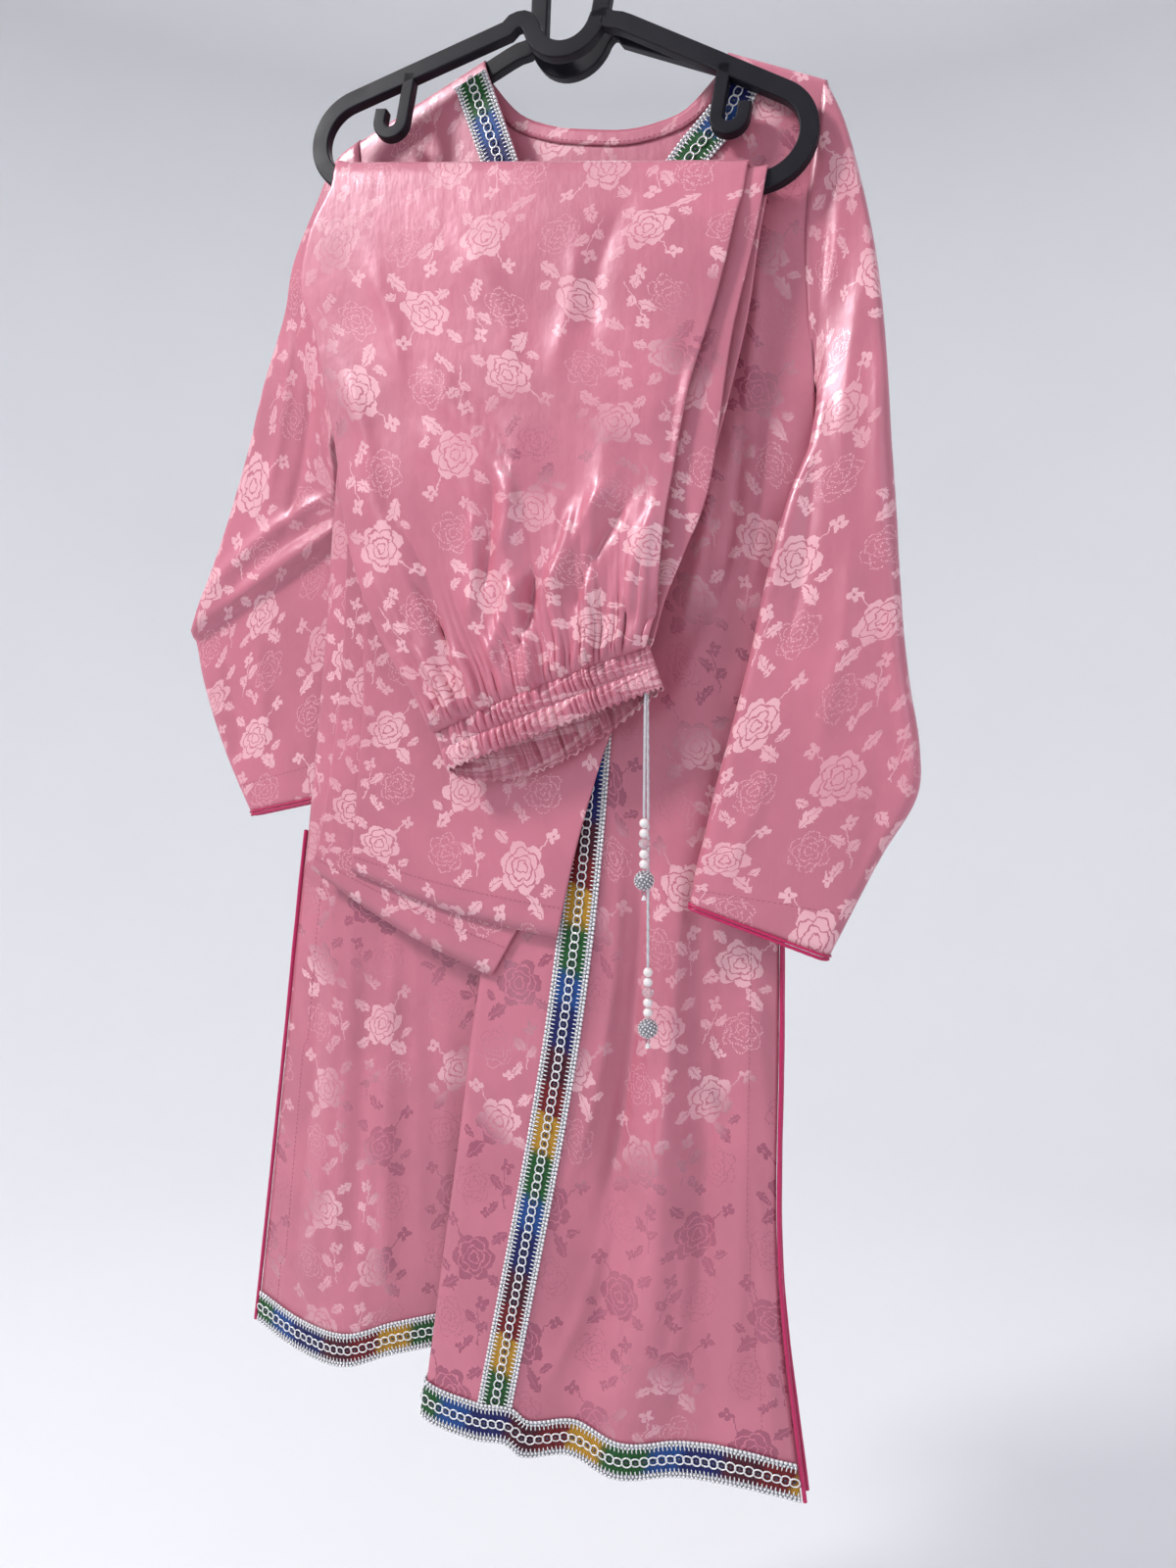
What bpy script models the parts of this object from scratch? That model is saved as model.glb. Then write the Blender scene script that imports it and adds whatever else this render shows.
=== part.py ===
"""Shalwar kameez hung on two slim plastic hangers, at its real size.

Metres, +Z up. The origin is the point that the rod passes through, just under the tops of both
hooks. The front of the garment faces -Y, and +X is the viewer's right. The tunic (kameez) hangs on
the rear hanger, and the folded trousers (shalwar) hang over the bar of the front one.
"""
import math

import bmesh
import bpy
import numpy as np
from mathutils import Matrix, Vector

# Cloth and trim thicknesses
CLOTH = 0.0012
FOLDED_LEG = 0.0026
BAND_WALL = 0.0018
TRIM = 0.0010
PIPING_RADIUS = 0.0016
CUFF_PIPING_RADIUS = 0.0012
SEAM_GAP = 0.0003

# Hanger design, seen from the front with its hook's stem on the right
HANGER_WIDE = 0.0126
HANGER_DEEP = 0.0080
HANGER_CHAMFER = 0.0016
ARM_START = (0.034, -0.0805)
ARM_END_X = 0.160
ARM_SLOPE = math.radians(23.0)
END_RADIUS = 0.032
DIP_CENTRE = (-0.004, -0.0765)
DIP_RADIUS = 0.0245
STEM_X = 0.0215
HOOK_RADIUS = 0.0235
HOOK_TOP = 0.0075
HOOK_SWEEP = math.radians(205.0)
STRAP_X = 0.116
STRAP_DROP = 0.150
STRAP_RADIUS = 0.009
STRAP_TIP = 0.0085

# How each hanger hangs: its middle, its roll (right side down), lean and turn
FRONT_AT = (0.0068, -0.0093, 0.0)
FRONT_ROLL = math.radians(8.5)
FRONT_LEAN = math.radians(5.7)
FRONT_TURN = math.radians(3.4)
REAR_AT = (-0.0100, 0.0, 0.0)
REAR_ROLL = math.radians(2.5)

# Tunic: level down the body (0 shoulder, 1 hem), and its side edges there
LEVELS = ("shoulder", "chest", "underarm", "waist", "hip", "skirt", "hem")
LEVEL = dict(shoulder=0.0, chest=0.10, underarm=0.24, waist=0.42, hip=0.68, skirt=0.84, hem=1.0)
LEFT_EDGE = dict(shoulder=-0.1820, chest=-0.1760, underarm=-0.2020, waist=-0.2180,
                 hip=-0.2460, skirt=-0.2660, hem=-0.2870)
RIGHT_EDGE = dict(shoulder=0.1700, chest=0.1580, underarm=0.1630, waist=0.1430,
                  hip=0.1400, skirt=0.1400, hem=0.1580)
SHOULDER_Y = 0.0064
SEAM_Y = (CLOTH + SEAM_GAP) / 2
TRIM_WIDTH = 0.026

# Half the gap between the two panels' side edges: open armhole, closed side seam, open slit
EDGE_GAP = ((0.0, 0.0064), (0.21, 0.0064), (0.24, 0.0008), (0.565, 0.0008), (0.60, 0.0019),
            (0.84, 0.0035), (1.0, 0.0045))
SIDE_MIDDLE_LEFT = ((0.0, 0.0), (0.68, 0.0010), (1.0, 0.0080))
SIDE_MIDDLE_RIGHT = ((0.0, 0.0), (0.68, 0.0), (1.0, 0.0))
SLIT_TOP = 0.565

# Front panel, one row for each fold line: name, place across at the top and the waist, x at hip
# and hem, y at chest, waist, hip and hem, height of the hem, columns to the next line
FRONT_LINES = (
    ("side_left", 0.000, 0.000, -0.2460, -0.2870, 0, 0, 0, 0, -1.050, 2),
    ("left_swell", 0.090, 0.100, -0.2120, -0.2400, -0.0072, -0.0085, -0.0085, -0.0060, -1.062, 2),
    ("left_ridge", 0.185, 0.210, -0.1720, -0.1960, -0.0078, -0.0110, -0.0120, -0.0120, -1.064, 2),
    ("left_return", 0.285, 0.325, -0.1300, -0.1580, -0.0080, -0.0110, -0.0080, -0.0020, -1.052, 2),
    ("crease_back", 0.370, 0.420, -0.0600, -0.0880, -0.0080, -0.0110, -0.0070, 0.0060, -1.034, 1),
    ("crease_front", 0.390, 0.445, -0.0560, -0.0830, -0.0080, -0.0113, -0.0105, -0.0090, -1.045, 1),
    ("edge_back", 0.410, 0.462, -0.0690, -0.1120, -0.0080, -0.0118, -0.0145, -0.0190, -1.070, 1),
    ("pleat_edge", 0.430, 0.485, -0.0750, -0.1190, -0.0080, -0.0124, -0.0188, -0.0270, -1.079, 2),
    ("centre_left", 0.535, 0.610, -0.0190, -0.0770, -0.0085, -0.0130, -0.0205, -0.0300, -1.086, 1),
    ("centre_right", 0.609, 0.681, 0.0070, -0.0510, -0.0085, -0.0125, -0.0195, -0.0290, -1.085, 1),
    ("small_step", 0.650, 0.710, 0.0190, -0.0400, -0.0085, -0.0115, -0.0155, -0.0250, -1.094, 2),
    ("right_hollow", 0.735, 0.775, 0.0430, -0.0080, -0.0082, -0.0105, -0.0110, -0.0140, -1.092, 2),
    ("right_ridge", 0.815, 0.835, 0.0680, 0.0300, -0.0080, -0.0110, -0.0150, -0.0200, -1.098, 2),
    ("right_valley", 0.880, 0.890, 0.0930, 0.0720, -0.0076, -0.0090, -0.0100, -0.0100, -1.093, 2),
    ("right_swell", 0.945, 0.950, 0.1200, 0.1180, -0.0072, -0.0065, -0.0085, -0.0120, -1.089, 2),
    ("side_right", 1.000, 1.000, 0.1400, 0.1580, 0, 0, 0, 0, -1.095, 0),
)
BACK_LINES = (
    ("side_left", 0.000, 0.000, -0.2460, -0.2870, 0, 0, 0, 0, -1.052, 2),
    ("left_swell", 0.140, 0.140, -0.2020, -0.2380, 0.0072, 0.0090, 0.0120, 0.0240, -1.058, 2),
    ("left_valley", 0.280, 0.280, -0.1500, -0.1840, 0.0080, 0.0100, 0.0090, 0.0150, -1.062, 2),
    ("left_ridge", 0.400, 0.400, -0.1020, -0.1320, 0.0080, 0.0120, 0.0160, 0.0270, -1.056, 2),
    ("middle", 0.520, 0.520, -0.0480, -0.0740, 0.0080, 0.0110, 0.0110, 0.0180, -1.072, 2),
    ("right_ridge", 0.640, 0.640, 0.0000, -0.0160, 0.0080, 0.0120, 0.0170, 0.0240, -1.084, 2),
    ("right_valley", 0.760, 0.760, 0.0500, 0.0420, 0.0080, 0.0100, 0.0090, 0.0100, -1.090, 2),
    ("right_swell", 0.880, 0.880, 0.0980, 0.1020, 0.0072, 0.0085, 0.0120, 0.0160, -1.088, 2),
    ("side_right", 1.000, 1.000, 0.1400, 0.1580, 0, 0, 0, 0, -1.092, 0),
)
BODY_ROWS = (0.012, 0.040, 0.080, 0.125, 0.170, 0.210, 0.240, 0.300, 0.370, 0.440, 0.510, 0.565,
             0.600, 0.640, 0.690, 0.740, 0.790, 0.840, 0.890, 0.935)

# Neckline edges on the front and the back panel, from the left shoulder round to the right one
FRONT_NECK = ((-0.0850, -0.0500), (-0.0745, -0.0880), (-0.0497, -0.1560), (-0.0290, -0.2150),
              (0.0060, -0.3180), (0.0190, -0.2630), (0.0380, -0.2150), (0.0673, -0.1753),
              (0.0990, -0.1420), (0.1040, -0.1180), (0.1045, -0.0500))
BACK_NECK = ((-0.0850, -0.0500), (-0.0794, -0.0870), (-0.0535, -0.1186), (-0.0266, -0.1328),
             (-0.0002, -0.1398), (0.0293, -0.1453), (0.0509, -0.1446), (0.0721, -0.1392),
             (0.1025, -0.1122), (0.1045, -0.0500))
NECK_POINT = 4
MITRE_DROP = 0.042
STRIP_STOP = 0.0065
FACING_WIDTH = 0.011
FACING = 0.0008

# Sleeves, one row for each section: outer edge x and z, inner edge x and z, y at the outer and
# the inner edge, half the tube's depth
RIGHT_SLEEVE = (
    (0.1710, -0.1460, 0.1640, -0.3440, 0.0000, 0.0000, 0.0064),
    (0.1820, -0.1720, 0.1680, -0.3460, -0.0005, -0.0010, 0.0064),
    (0.1950, -0.2250, 0.1715, -0.3490, -0.0020, -0.0030, 0.0066),
    (0.2040, -0.2760, 0.1735, -0.3540, -0.0050, -0.0060, 0.0068),
    (0.2085, -0.3180, 0.1735, -0.3610, -0.0080, -0.0095, 0.0070),
    (0.2110, -0.3500, 0.1690, -0.3710, -0.0110, -0.0135, 0.0070),
    (0.2130, -0.3800, 0.1610, -0.3890, -0.0145, -0.0175, 0.0070),
    (0.2155, -0.4120, 0.1510, -0.4170, -0.0180, -0.0205, 0.0072),
    (0.2180, -0.4480, 0.1410, -0.4520, -0.0210, -0.0235, 0.0075),
    (0.2205, -0.4820, 0.1320, -0.4920, -0.0235, -0.0250, 0.0075),
    (0.2230, -0.5130, 0.1215, -0.5370, -0.0255, -0.0260, 0.0080),
    (0.2270, -0.5450, 0.1110, -0.5780, -0.0265, -0.0265, 0.0085),
    (0.2330, -0.5830, 0.1020, -0.6120, -0.0270, -0.0270, 0.0085),
    (0.2315, -0.6140, 0.0960, -0.6390, -0.0275, -0.0275, 0.0085),
    (0.2090, -0.6540, 0.0900, -0.6620, -0.0275, -0.0275, 0.0080),
    (0.1776, -0.7180, 0.0850, -0.6880, -0.0275, -0.0275, 0.0070),
)
LEFT_SLEEVE = (
    (-0.1836, -0.1205, -0.2030, -0.3440, 0.0000, 0.0000, 0.0066),
    (-0.2030, -0.1300, -0.2080, -0.3480, 0.0010, 0.0010, 0.0082),
    (-0.2230, -0.1570, -0.2110, -0.3550, 0.0060, 0.0060, 0.0085),
    (-0.2500, -0.1960, -0.2130, -0.3640, 0.0140, 0.0140, 0.0080),
    (-0.2620, -0.2330, -0.2140, -0.3740, 0.0185, 0.0185, 0.0080),
    (-0.2840, -0.2850, -0.2140, -0.3850, 0.0205, 0.0205, 0.0080),
    (-0.3020, -0.3400, -0.2120, -0.3920, 0.0215, 0.0215, 0.0080),
    (-0.3240, -0.4000, -0.2110, -0.3970, 0.0215, 0.0215, 0.0085),
    (-0.3450, -0.4500, -0.2110, -0.4020, 0.0215, 0.0215, 0.0095),
    (-0.3600, -0.4850, -0.2110, -0.4080, 0.0220, 0.0220, 0.0100),
    (-0.3592, -0.4920, -0.2120, -0.4150, 0.0265, 0.0265, 0.0075),
    (-0.3540, -0.5200, -0.2130, -0.4500, 0.0275, 0.0275, 0.0075),
    (-0.3450, -0.5500, -0.2140, -0.5000, 0.0275, 0.0275, 0.0075),
    (-0.3280, -0.5920, -0.2145, -0.5600, 0.0275, 0.0275, 0.0075),
    (-0.3060, -0.6360, -0.2150, -0.6180, 0.0275, 0.0275, 0.0070),
)
SLEEVE_COLUMNS = 4
ARMHOLE_SHARE = (1.0, 0.45, 0.12)
ARMHOLE_EASE = 0.0017

# Trousers, one row for each section: left x and z, right x and z, left y, right y.
# The outer leg starts at the waistband, the inner one too, and both go up, over the bar and down.
OUTER_FRONT = (
    (-0.0950, -0.5681, 0.0608, -0.5129, -0.0560, -0.0508),
    (-0.1070, -0.5450, 0.0650, -0.4930, -0.0560, -0.0480),
    (-0.1240, -0.5200, 0.0670, -0.4720, -0.0560, -0.0470),
    (-0.1430, -0.4850, 0.0700, -0.4400, -0.0555, -0.0460),
    (-0.1610, -0.4330, 0.0770, -0.3920, -0.0545, -0.0440),
    (-0.1720, -0.3640, 0.0860, -0.3450, -0.0530, -0.0420),
    (-0.1830, -0.3140, 0.0945, -0.3180, -0.0515, -0.0400),
    (-0.1920, -0.2750, 0.1030, -0.2900, -0.0500, -0.0380),
    (-0.2020, -0.2480, 0.1105, -0.2620, -0.0505, -0.0380),
    (-0.1940, -0.2060, 0.1160, -0.2380, -0.0500, -0.0375),
)
OUTER_BACK = (
    (-0.1790, -0.2200, 0.1160, -0.2450, -0.0272, -0.0160),
    (-0.1800, -0.3000, 0.1050, -0.3100, -0.0262, -0.0175),
    (-0.1800, -0.4200, 0.0750, -0.4300, -0.0250, -0.0195),
    (-0.1870, -0.5350, 0.0300, -0.5600, -0.0240, -0.0200),
    (-0.1980, -0.6090, -0.0050, -0.6400, -0.0235, -0.0212),
    (-0.2070, -0.6510, -0.0350, -0.6950, -0.0232, -0.0225),
    (-0.2150, -0.6750, -0.0650, -0.7470, -0.0230, -0.0228),
)
INNER_FRONT = (
    (-0.0930, -0.5676, 0.0600, -0.5134, -0.0400, -0.0355),
    (-0.1150, -0.5200, 0.0680, -0.4850, -0.0400, -0.0350),
    (-0.1450, -0.4500, 0.0810, -0.4540, -0.0430, -0.0350),
    (-0.1630, -0.3600, 0.0980, -0.4100, -0.0440, -0.0340),
    (-0.1730, -0.2900, 0.1120, -0.3150, -0.0430, -0.0320),
    (-0.1760, -0.2300, 0.1260, -0.2540, -0.0420, -0.0300),
)
INNER_BACK = (
    (-0.1690, -0.2200, 0.1280, -0.2450, -0.0304, -0.0190),
    (-0.1680, -0.3000, 0.1180, -0.3100, -0.0296, -0.0208),
    (-0.1660, -0.4200, 0.0850, -0.4300, -0.0284, -0.0228),
    (-0.1650, -0.5360, 0.0450, -0.5200, -0.0274, -0.0243),
    (-0.1690, -0.5900, 0.0200, -0.5900, -0.0270, -0.0250),
    (-0.1740, -0.6400, 0.0010, -0.6540, -0.0266, -0.0256),
    (-0.1770, -0.6750, -0.0130, -0.7160, -0.0264, -0.0259),
)
OUTER_BAR_SPAN = (-0.158, 0.1436)
INNER_BAR_SPAN = (-0.151, 0.1560)
BAR_WRAP = ((1.0, -0.85), (1.0, 0.05), (0.91, 0.68), (0.63, 0.93), (0.0, 1.0), (-0.63, 0.93),
            (-0.91, 0.68), (-1.0, 0.05), (-1.0, -0.85))
OUTER_COLUMNS = 17
INNER_COLUMNS = 9
HEM_SAG = 0.006

# Waistband: elastic in two ruched channels, as a flattened ring
BAND_LEFT = (-0.0910, -0.0480, -0.5840)
BAND_RIGHT = (0.0655, -0.0430, -0.5285)
BAND_HEIGHT = 0.031
BAND_HALF_DEPTH = 0.0085
BAND_REAR_DROP = 0.014
FRONT_GATHERS = 34
REAR_GATHERS = 20
GATHER_DEPTH = 0.0010
BAND_ROWS = ((0.0, 0.0), (0.25, 0.0016), (0.5, 0.0002), (0.75, 0.0016), (1.0, 0.0))

# Tassel cords and their beads
CORD_RADIUS = 0.0011
CORD_TOP = (0.0590, -0.0432, -0.5440)
SHORT_CORD_END = -0.6290
LONG_CORD_END = -0.7300
CORD_SPACE = 0.0024
TASSEL_SPACE = 0.0045
CORD_STEPS = 14
PEARL = 0.0034
CRYSTAL = 0.0042
BALL = 0.0074
CAP = 0.0022


def clear_scene():
    for thing in list(bpy.data.objects):
        bpy.data.objects.remove(thing, do_unlink=True)


def collection(name):
    group = bpy.data.collections.new(name)
    bpy.context.scene.collection.children.link(group)
    return group


clear_scene()
GARMENT = collection("shalwar_kameez")
CUTTERS = collection("cutters")


def material(name, colour, roughness, metallic=0.0):
    finish = bpy.data.materials.new(name)
    finish.use_nodes = True
    shader = finish.node_tree.nodes["Principled BSDF"]
    shader.inputs["Base Color"].default_value = (*colour, 1.0)
    shader.inputs["Roughness"].default_value = roughness
    shader.inputs["Metallic"].default_value = metallic
    return finish


SATIN = material("pink_satin", (0.56, 0.19, 0.28), 0.42)
PLASTIC = material("black_plastic", (0.018, 0.017, 0.024), 0.5)
BRAID = material("braid", (0.45, 0.47, 0.52), 0.4, 0.3)
PIPING = material("magenta_piping", (0.60, 0.02, 0.16), 0.45)
SILVER = material("silver_cord", (0.62, 0.62, 0.66), 0.35, 0.6)
PEARLS = material("pearl_beads", (0.85, 0.74, 0.72), 0.25)


def add_object(name, mesh, finish, group=GARMENT):
    thing = bpy.data.objects.new(name, mesh)
    group.objects.link(thing)
    if finish:
        mesh.materials.append(finish)
    return thing


def surface_mesh(name, rows, closed=False):
    """Quads between rows of points. A row with half as many columns as the last is stepped down."""
    form = bmesh.new()
    made = [[form.verts.new(point) for point in row] for row in rows]
    for upper, lower in zip(made, made[1:]):
        across = len(lower) if closed else len(lower) - 1
        if len(upper) == len(lower):
            for i in range(across):
                j = (i + 1) % len(lower)
                form.faces.new((upper[i], upper[j], lower[j], lower[i]))
        elif len(upper) > len(lower):
            for i in range(across):
                form.faces.new((upper[2 * i], upper[2 * i + 1], upper[2 * i + 2],
                                lower[i + 1], lower[i]))
    form.normal_update()
    mesh = bpy.data.meshes.new(name)
    form.to_mesh(mesh)
    form.free()
    return mesh


def cloth_wall(name, rows, thickness, finish, closed=False, flip=False):
    """A wall of even thickness about a sheet of points, smooth shaded."""
    mesh = surface_mesh(name, rows, closed)
    if flip:
        mesh.flip_normals()
    thing = add_object(name, mesh, finish)
    solid = thing.modifiers.new("wall", "SOLIDIFY")
    solid.thickness = thickness
    solid.offset = 0.0
    mesh.shade_smooth()
    return thing


def layered_wall(name, rows, thickness, groove, finish):
    """Two cloth layers as one wall, with a groove round its edge where the layers part."""
    sheet = surface_mesh(name + "_sheet", rows)
    form = bmesh.new()
    form.from_mesh(sheet)
    bpy.data.meshes.remove(sheet)
    form.normal_update()
    half = thickness / 2
    old_verts = list(form.verts)
    old_faces = [tuple(v.index for v in face.verts) for face in form.faces]
    rim = [(e.verts[0].index, e.verts[1].index) for e in form.edges if e.is_boundary]
    around = {}
    for face in form.faces:
        for vert in face.verts:
            around.setdefault(vert.index, []).append(face.calc_center_median())
    upper = [form.verts.new(v.co + v.normal * half) for v in old_verts]
    lower = [form.verts.new(v.co - v.normal * half) for v in old_verts]
    groove_vert = {}
    for index in {i for pair in rim for i in pair}:
        start = old_verts[index].co
        inward = sum(around[index], Vector()) / len(around[index]) - start
        groove_vert[index] = form.verts.new(start + inward.normalized() * groove)
    for face in old_faces:
        form.faces.new([upper[i] for i in face])
        form.faces.new([lower[i] for i in reversed(face)])
    for a, b in rim:
        form.faces.new((upper[a], upper[b], groove_vert[b], groove_vert[a]))
        form.faces.new((groove_vert[a], groove_vert[b], lower[b], lower[a]))
    bmesh.ops.delete(form, geom=old_verts, context="VERTS")
    bmesh.ops.recalc_face_normals(form, faces=form.faces)
    mesh = bpy.data.meshes.new(name)
    form.to_mesh(mesh)
    form.free()
    mesh.shade_smooth()
    return add_object(name, mesh, finish)


def apply_and_replace(thing):
    """The object's evaluated shape as a plain mesh object with welded points."""
    bpy.context.view_layer.update()
    graph = bpy.context.evaluated_depsgraph_get()
    mesh = bpy.data.meshes.new_from_object(thing.evaluated_get(graph))
    form = bmesh.new()
    form.from_mesh(mesh)
    bmesh.ops.remove_doubles(form, verts=form.verts, dist=0.00002)
    form.to_mesh(mesh)
    form.free()
    made = bpy.data.objects.new(thing.name + "_mesh", mesh)
    made.matrix_world = thing.matrix_world.copy()
    for group in thing.users_collection:
        group.objects.link(made)
    bpy.data.objects.remove(thing, do_unlink=True)
    return made


def boolean(thing, tool, operation):
    cut = thing.modifiers.new(operation.lower(), "BOOLEAN")
    cut.operation = operation
    cut.solver = "EXACT"
    cut.object = tool
    return cut


def eased(points, at):
    """A smooth value at one place through a dict or list of (place, value) pairs."""
    places = [p for p, _ in points]
    values = [q for _, q in points]
    slopes = []
    for i in range(len(points)):
        low = max(i - 1, 0)
        high = min(i + 1, len(points) - 1)
        slopes.append((values[high] - values[low]) / (places[high] - places[low]))
    i = int(np.clip(np.searchsorted(places, at) - 1, 0, len(points) - 2))
    span = places[i + 1] - places[i]
    t = (at - places[i]) / span
    return ((2 * t ** 3 - 3 * t ** 2 + 1) * values[i] + (t ** 3 - 2 * t ** 2 + t) * span * slopes[i]
            + (3 * t ** 2 - 2 * t ** 3) * values[i + 1] + (t ** 3 - t ** 2) * span * slopes[i + 1])


# Hangers

def arc(centre, radius, start, end, steps):
    """Points along an arc, angles in radians from +X."""
    made = []
    for i in range(steps + 1):
        angle = start + (end - start) * i / steps
        made.append((centre[0] + radius * math.cos(angle), centre[1] + radius * math.sin(angle)))
    return made


def arm_height(x):
    return ARM_START[1] - math.tan(ARM_SLOPE) * (abs(x) - ARM_START[0])


END_CENTRE = (ARM_END_X - END_RADIUS * math.sin(ARM_SLOPE),
              arm_height(ARM_END_X) - END_RADIUS * math.cos(ARM_SLOPE))
BAR_HEIGHT = END_CENTRE[1] - END_RADIUS


def frame_outline():
    """The hanger's closed frame: both arms, both round ends, the bar and the dip in the middle."""
    right = arc(END_CENTRE, END_RADIUS, math.pi / 2 - ARM_SLOPE, -math.pi / 2, 8)
    left = [(-x, z) for x, z in reversed(right)]
    dip = arc(DIP_CENTRE, DIP_RADIUS, math.radians(-160), math.radians(-8), 7)
    hump = [(-0.046, arm_height(0.046) + 0.0005), (-0.0385, -0.0785), (-0.0325, -0.0790)]
    return [(0.044, arm_height(0.044)), *right, (0.05, BAR_HEIGHT), (-0.05, BAR_HEIGHT), *left,
            *hump, *dip, (0.0300, -0.0815)]


def hook_line():
    top = (STEM_X - HOOK_RADIUS, HOOK_TOP - HOOK_RADIUS)
    return [(STEM_X, -0.0790), (STEM_X, -0.045), *arc(top, HOOK_RADIUS, 0, HOOK_SWEEP, 14)]


def strap_hook(side):
    turn = arc((STRAP_X + STRAP_RADIUS, -STRAP_DROP), STRAP_RADIUS, math.pi, 2 * math.pi, 5)
    line = [(STRAP_X, arm_height(STRAP_X)), *turn, (STRAP_X + 2 * STRAP_RADIUS, -STRAP_DROP + STRAP_TIP)]
    return [(side * x, z) for x, z in line]


def moulded_bar(name, line, wide, cyclic):
    """A chamfered flat bar swept along a flat line, as a mesh object."""
    profile = bpy.data.curves.new(name + "_profile", "CURVE")
    half_wide = wide / 2
    half_deep = HANGER_DEEP / 2
    cut = HANGER_CHAMFER
    corners = ((half_wide, half_deep - cut), (half_wide - cut, half_deep),
               (cut - half_wide, half_deep), (-half_wide, half_deep - cut),
               (-half_wide, cut - half_deep), (cut - half_wide, -half_deep),
               (half_wide - cut, -half_deep), (half_wide, cut - half_deep))
    outline = profile.splines.new("POLY")
    outline.points.add(len(corners) - 1)
    for point, (x, y) in zip(outline.points, corners):
        point.co = (x, y, 0.0, 1.0)
    outline.use_cyclic_u = True
    section = add_object(name + "_profile", profile, None, CUTTERS)
    curve = bpy.data.curves.new(name, "CURVE")
    curve.dimensions = "2D"
    curve.fill_mode = "NONE"
    curve.bevel_mode = "OBJECT"
    curve.bevel_object = section
    curve.use_fill_caps = not cyclic
    spline = curve.splines.new("POLY")
    spline.points.add(len(line) - 1)
    for point, (x, z) in zip(spline.points, line):
        point.co = (x, z, 0.0, 1.0)
    spline.use_cyclic_u = cyclic
    made = apply_and_replace(add_object(name, curve, None, CUTTERS))
    bpy.data.objects.remove(section, do_unlink=True)
    form = bmesh.new()
    form.from_mesh(made.data)
    bmesh.ops.recalc_face_normals(form, faces=form.faces)
    form.to_mesh(made.data)
    form.free()
    made.hide_render = True
    made.display_type = "WIRE"
    return made


def hanger_place(at, roll, lean, turn):
    """From the hanger's own flat drawing (x, z up as y) to where it hangs."""
    upright = Matrix.Rotation(math.pi / 2, 4, "X")
    return (Matrix.Translation(at) @ Matrix.Rotation(turn, 4, "Z") @ Matrix.Rotation(-lean, 4, "X")
            @ Matrix.Rotation(roll, 4, "Y") @ upright)


FRONT_PLACE = hanger_place(FRONT_AT, FRONT_ROLL, FRONT_LEAN, FRONT_TURN)
REAR_PLACE = hanger_place(REAR_AT, REAR_ROLL, 0.0, 0.0)


def make_hanger(name, place, side):
    """One moulding: frame, hook and two strap hooks. side is -1 for a hanger turned round."""
    pieces = [moulded_bar(name + "_frame", frame_outline(), HANGER_WIDE, True),
              moulded_bar(name + "_hook", hook_line(), HANGER_WIDE, False),
              moulded_bar(name + "_strap_right", strap_hook(1), HANGER_WIDE * 0.72, False),
              moulded_bar(name + "_strap_left", strap_hook(-1), HANGER_WIDE * 0.72, False)]
    body = pieces[0]
    for tool in pieces[1:]:
        boolean(body, tool, "UNION")
    whole = apply_and_replace(body)
    for tool in pieces[1:]:
        bpy.data.objects.remove(tool, do_unlink=True)
    mesh = whole.data
    if side < 0:
        mesh.transform(Matrix.Scale(-1, 4, (1, 0, 0)))
        mesh.flip_normals()
    CUTTERS.objects.unlink(whole)
    GARMENT.objects.link(whole)
    whole.name = name
    whole.matrix_world = place
    mesh.materials.append(PLASTIC)
    mesh.shade_smooth()
    mesh.set_sharp_from_angle(angle=math.radians(35))
    return whole


# Tunic panels

def edge_at(edge, level):
    return eased([(LEVEL[name], edge[name]) for name in LEVELS], level)


def straight_between(pairs, at):
    return float(np.interp(at, [p for p, _ in pairs], [q for _, q in pairs]))


def shoulder_height(x):
    """Height of the cloth over the rear hanger's arm, which is rolled with its hanger."""
    off = x - REAR_AT[0]
    along = off
    for _ in range(4):
        up = arm_height(along) + HANGER_WIDE / 2 / math.cos(ARM_SLOPE)
        along = (off - up * math.sin(REAR_ROLL)) / math.cos(REAR_ROLL)
    height = up * math.cos(REAR_ROLL) - along * math.sin(REAR_ROLL)
    return height + SEAM_GAP + CLOTH / 2 + 0.0007


def side_y(level, across, side):
    """Depth of a panel's side edge: the middle of the seam, less or more half its gap."""
    middle = SIDE_MIDDLE_LEFT if across == 0.0 else SIDE_MIDDLE_RIGHT
    return straight_between(middle, level) + side * straight_between(EDGE_GAP, level)


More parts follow.
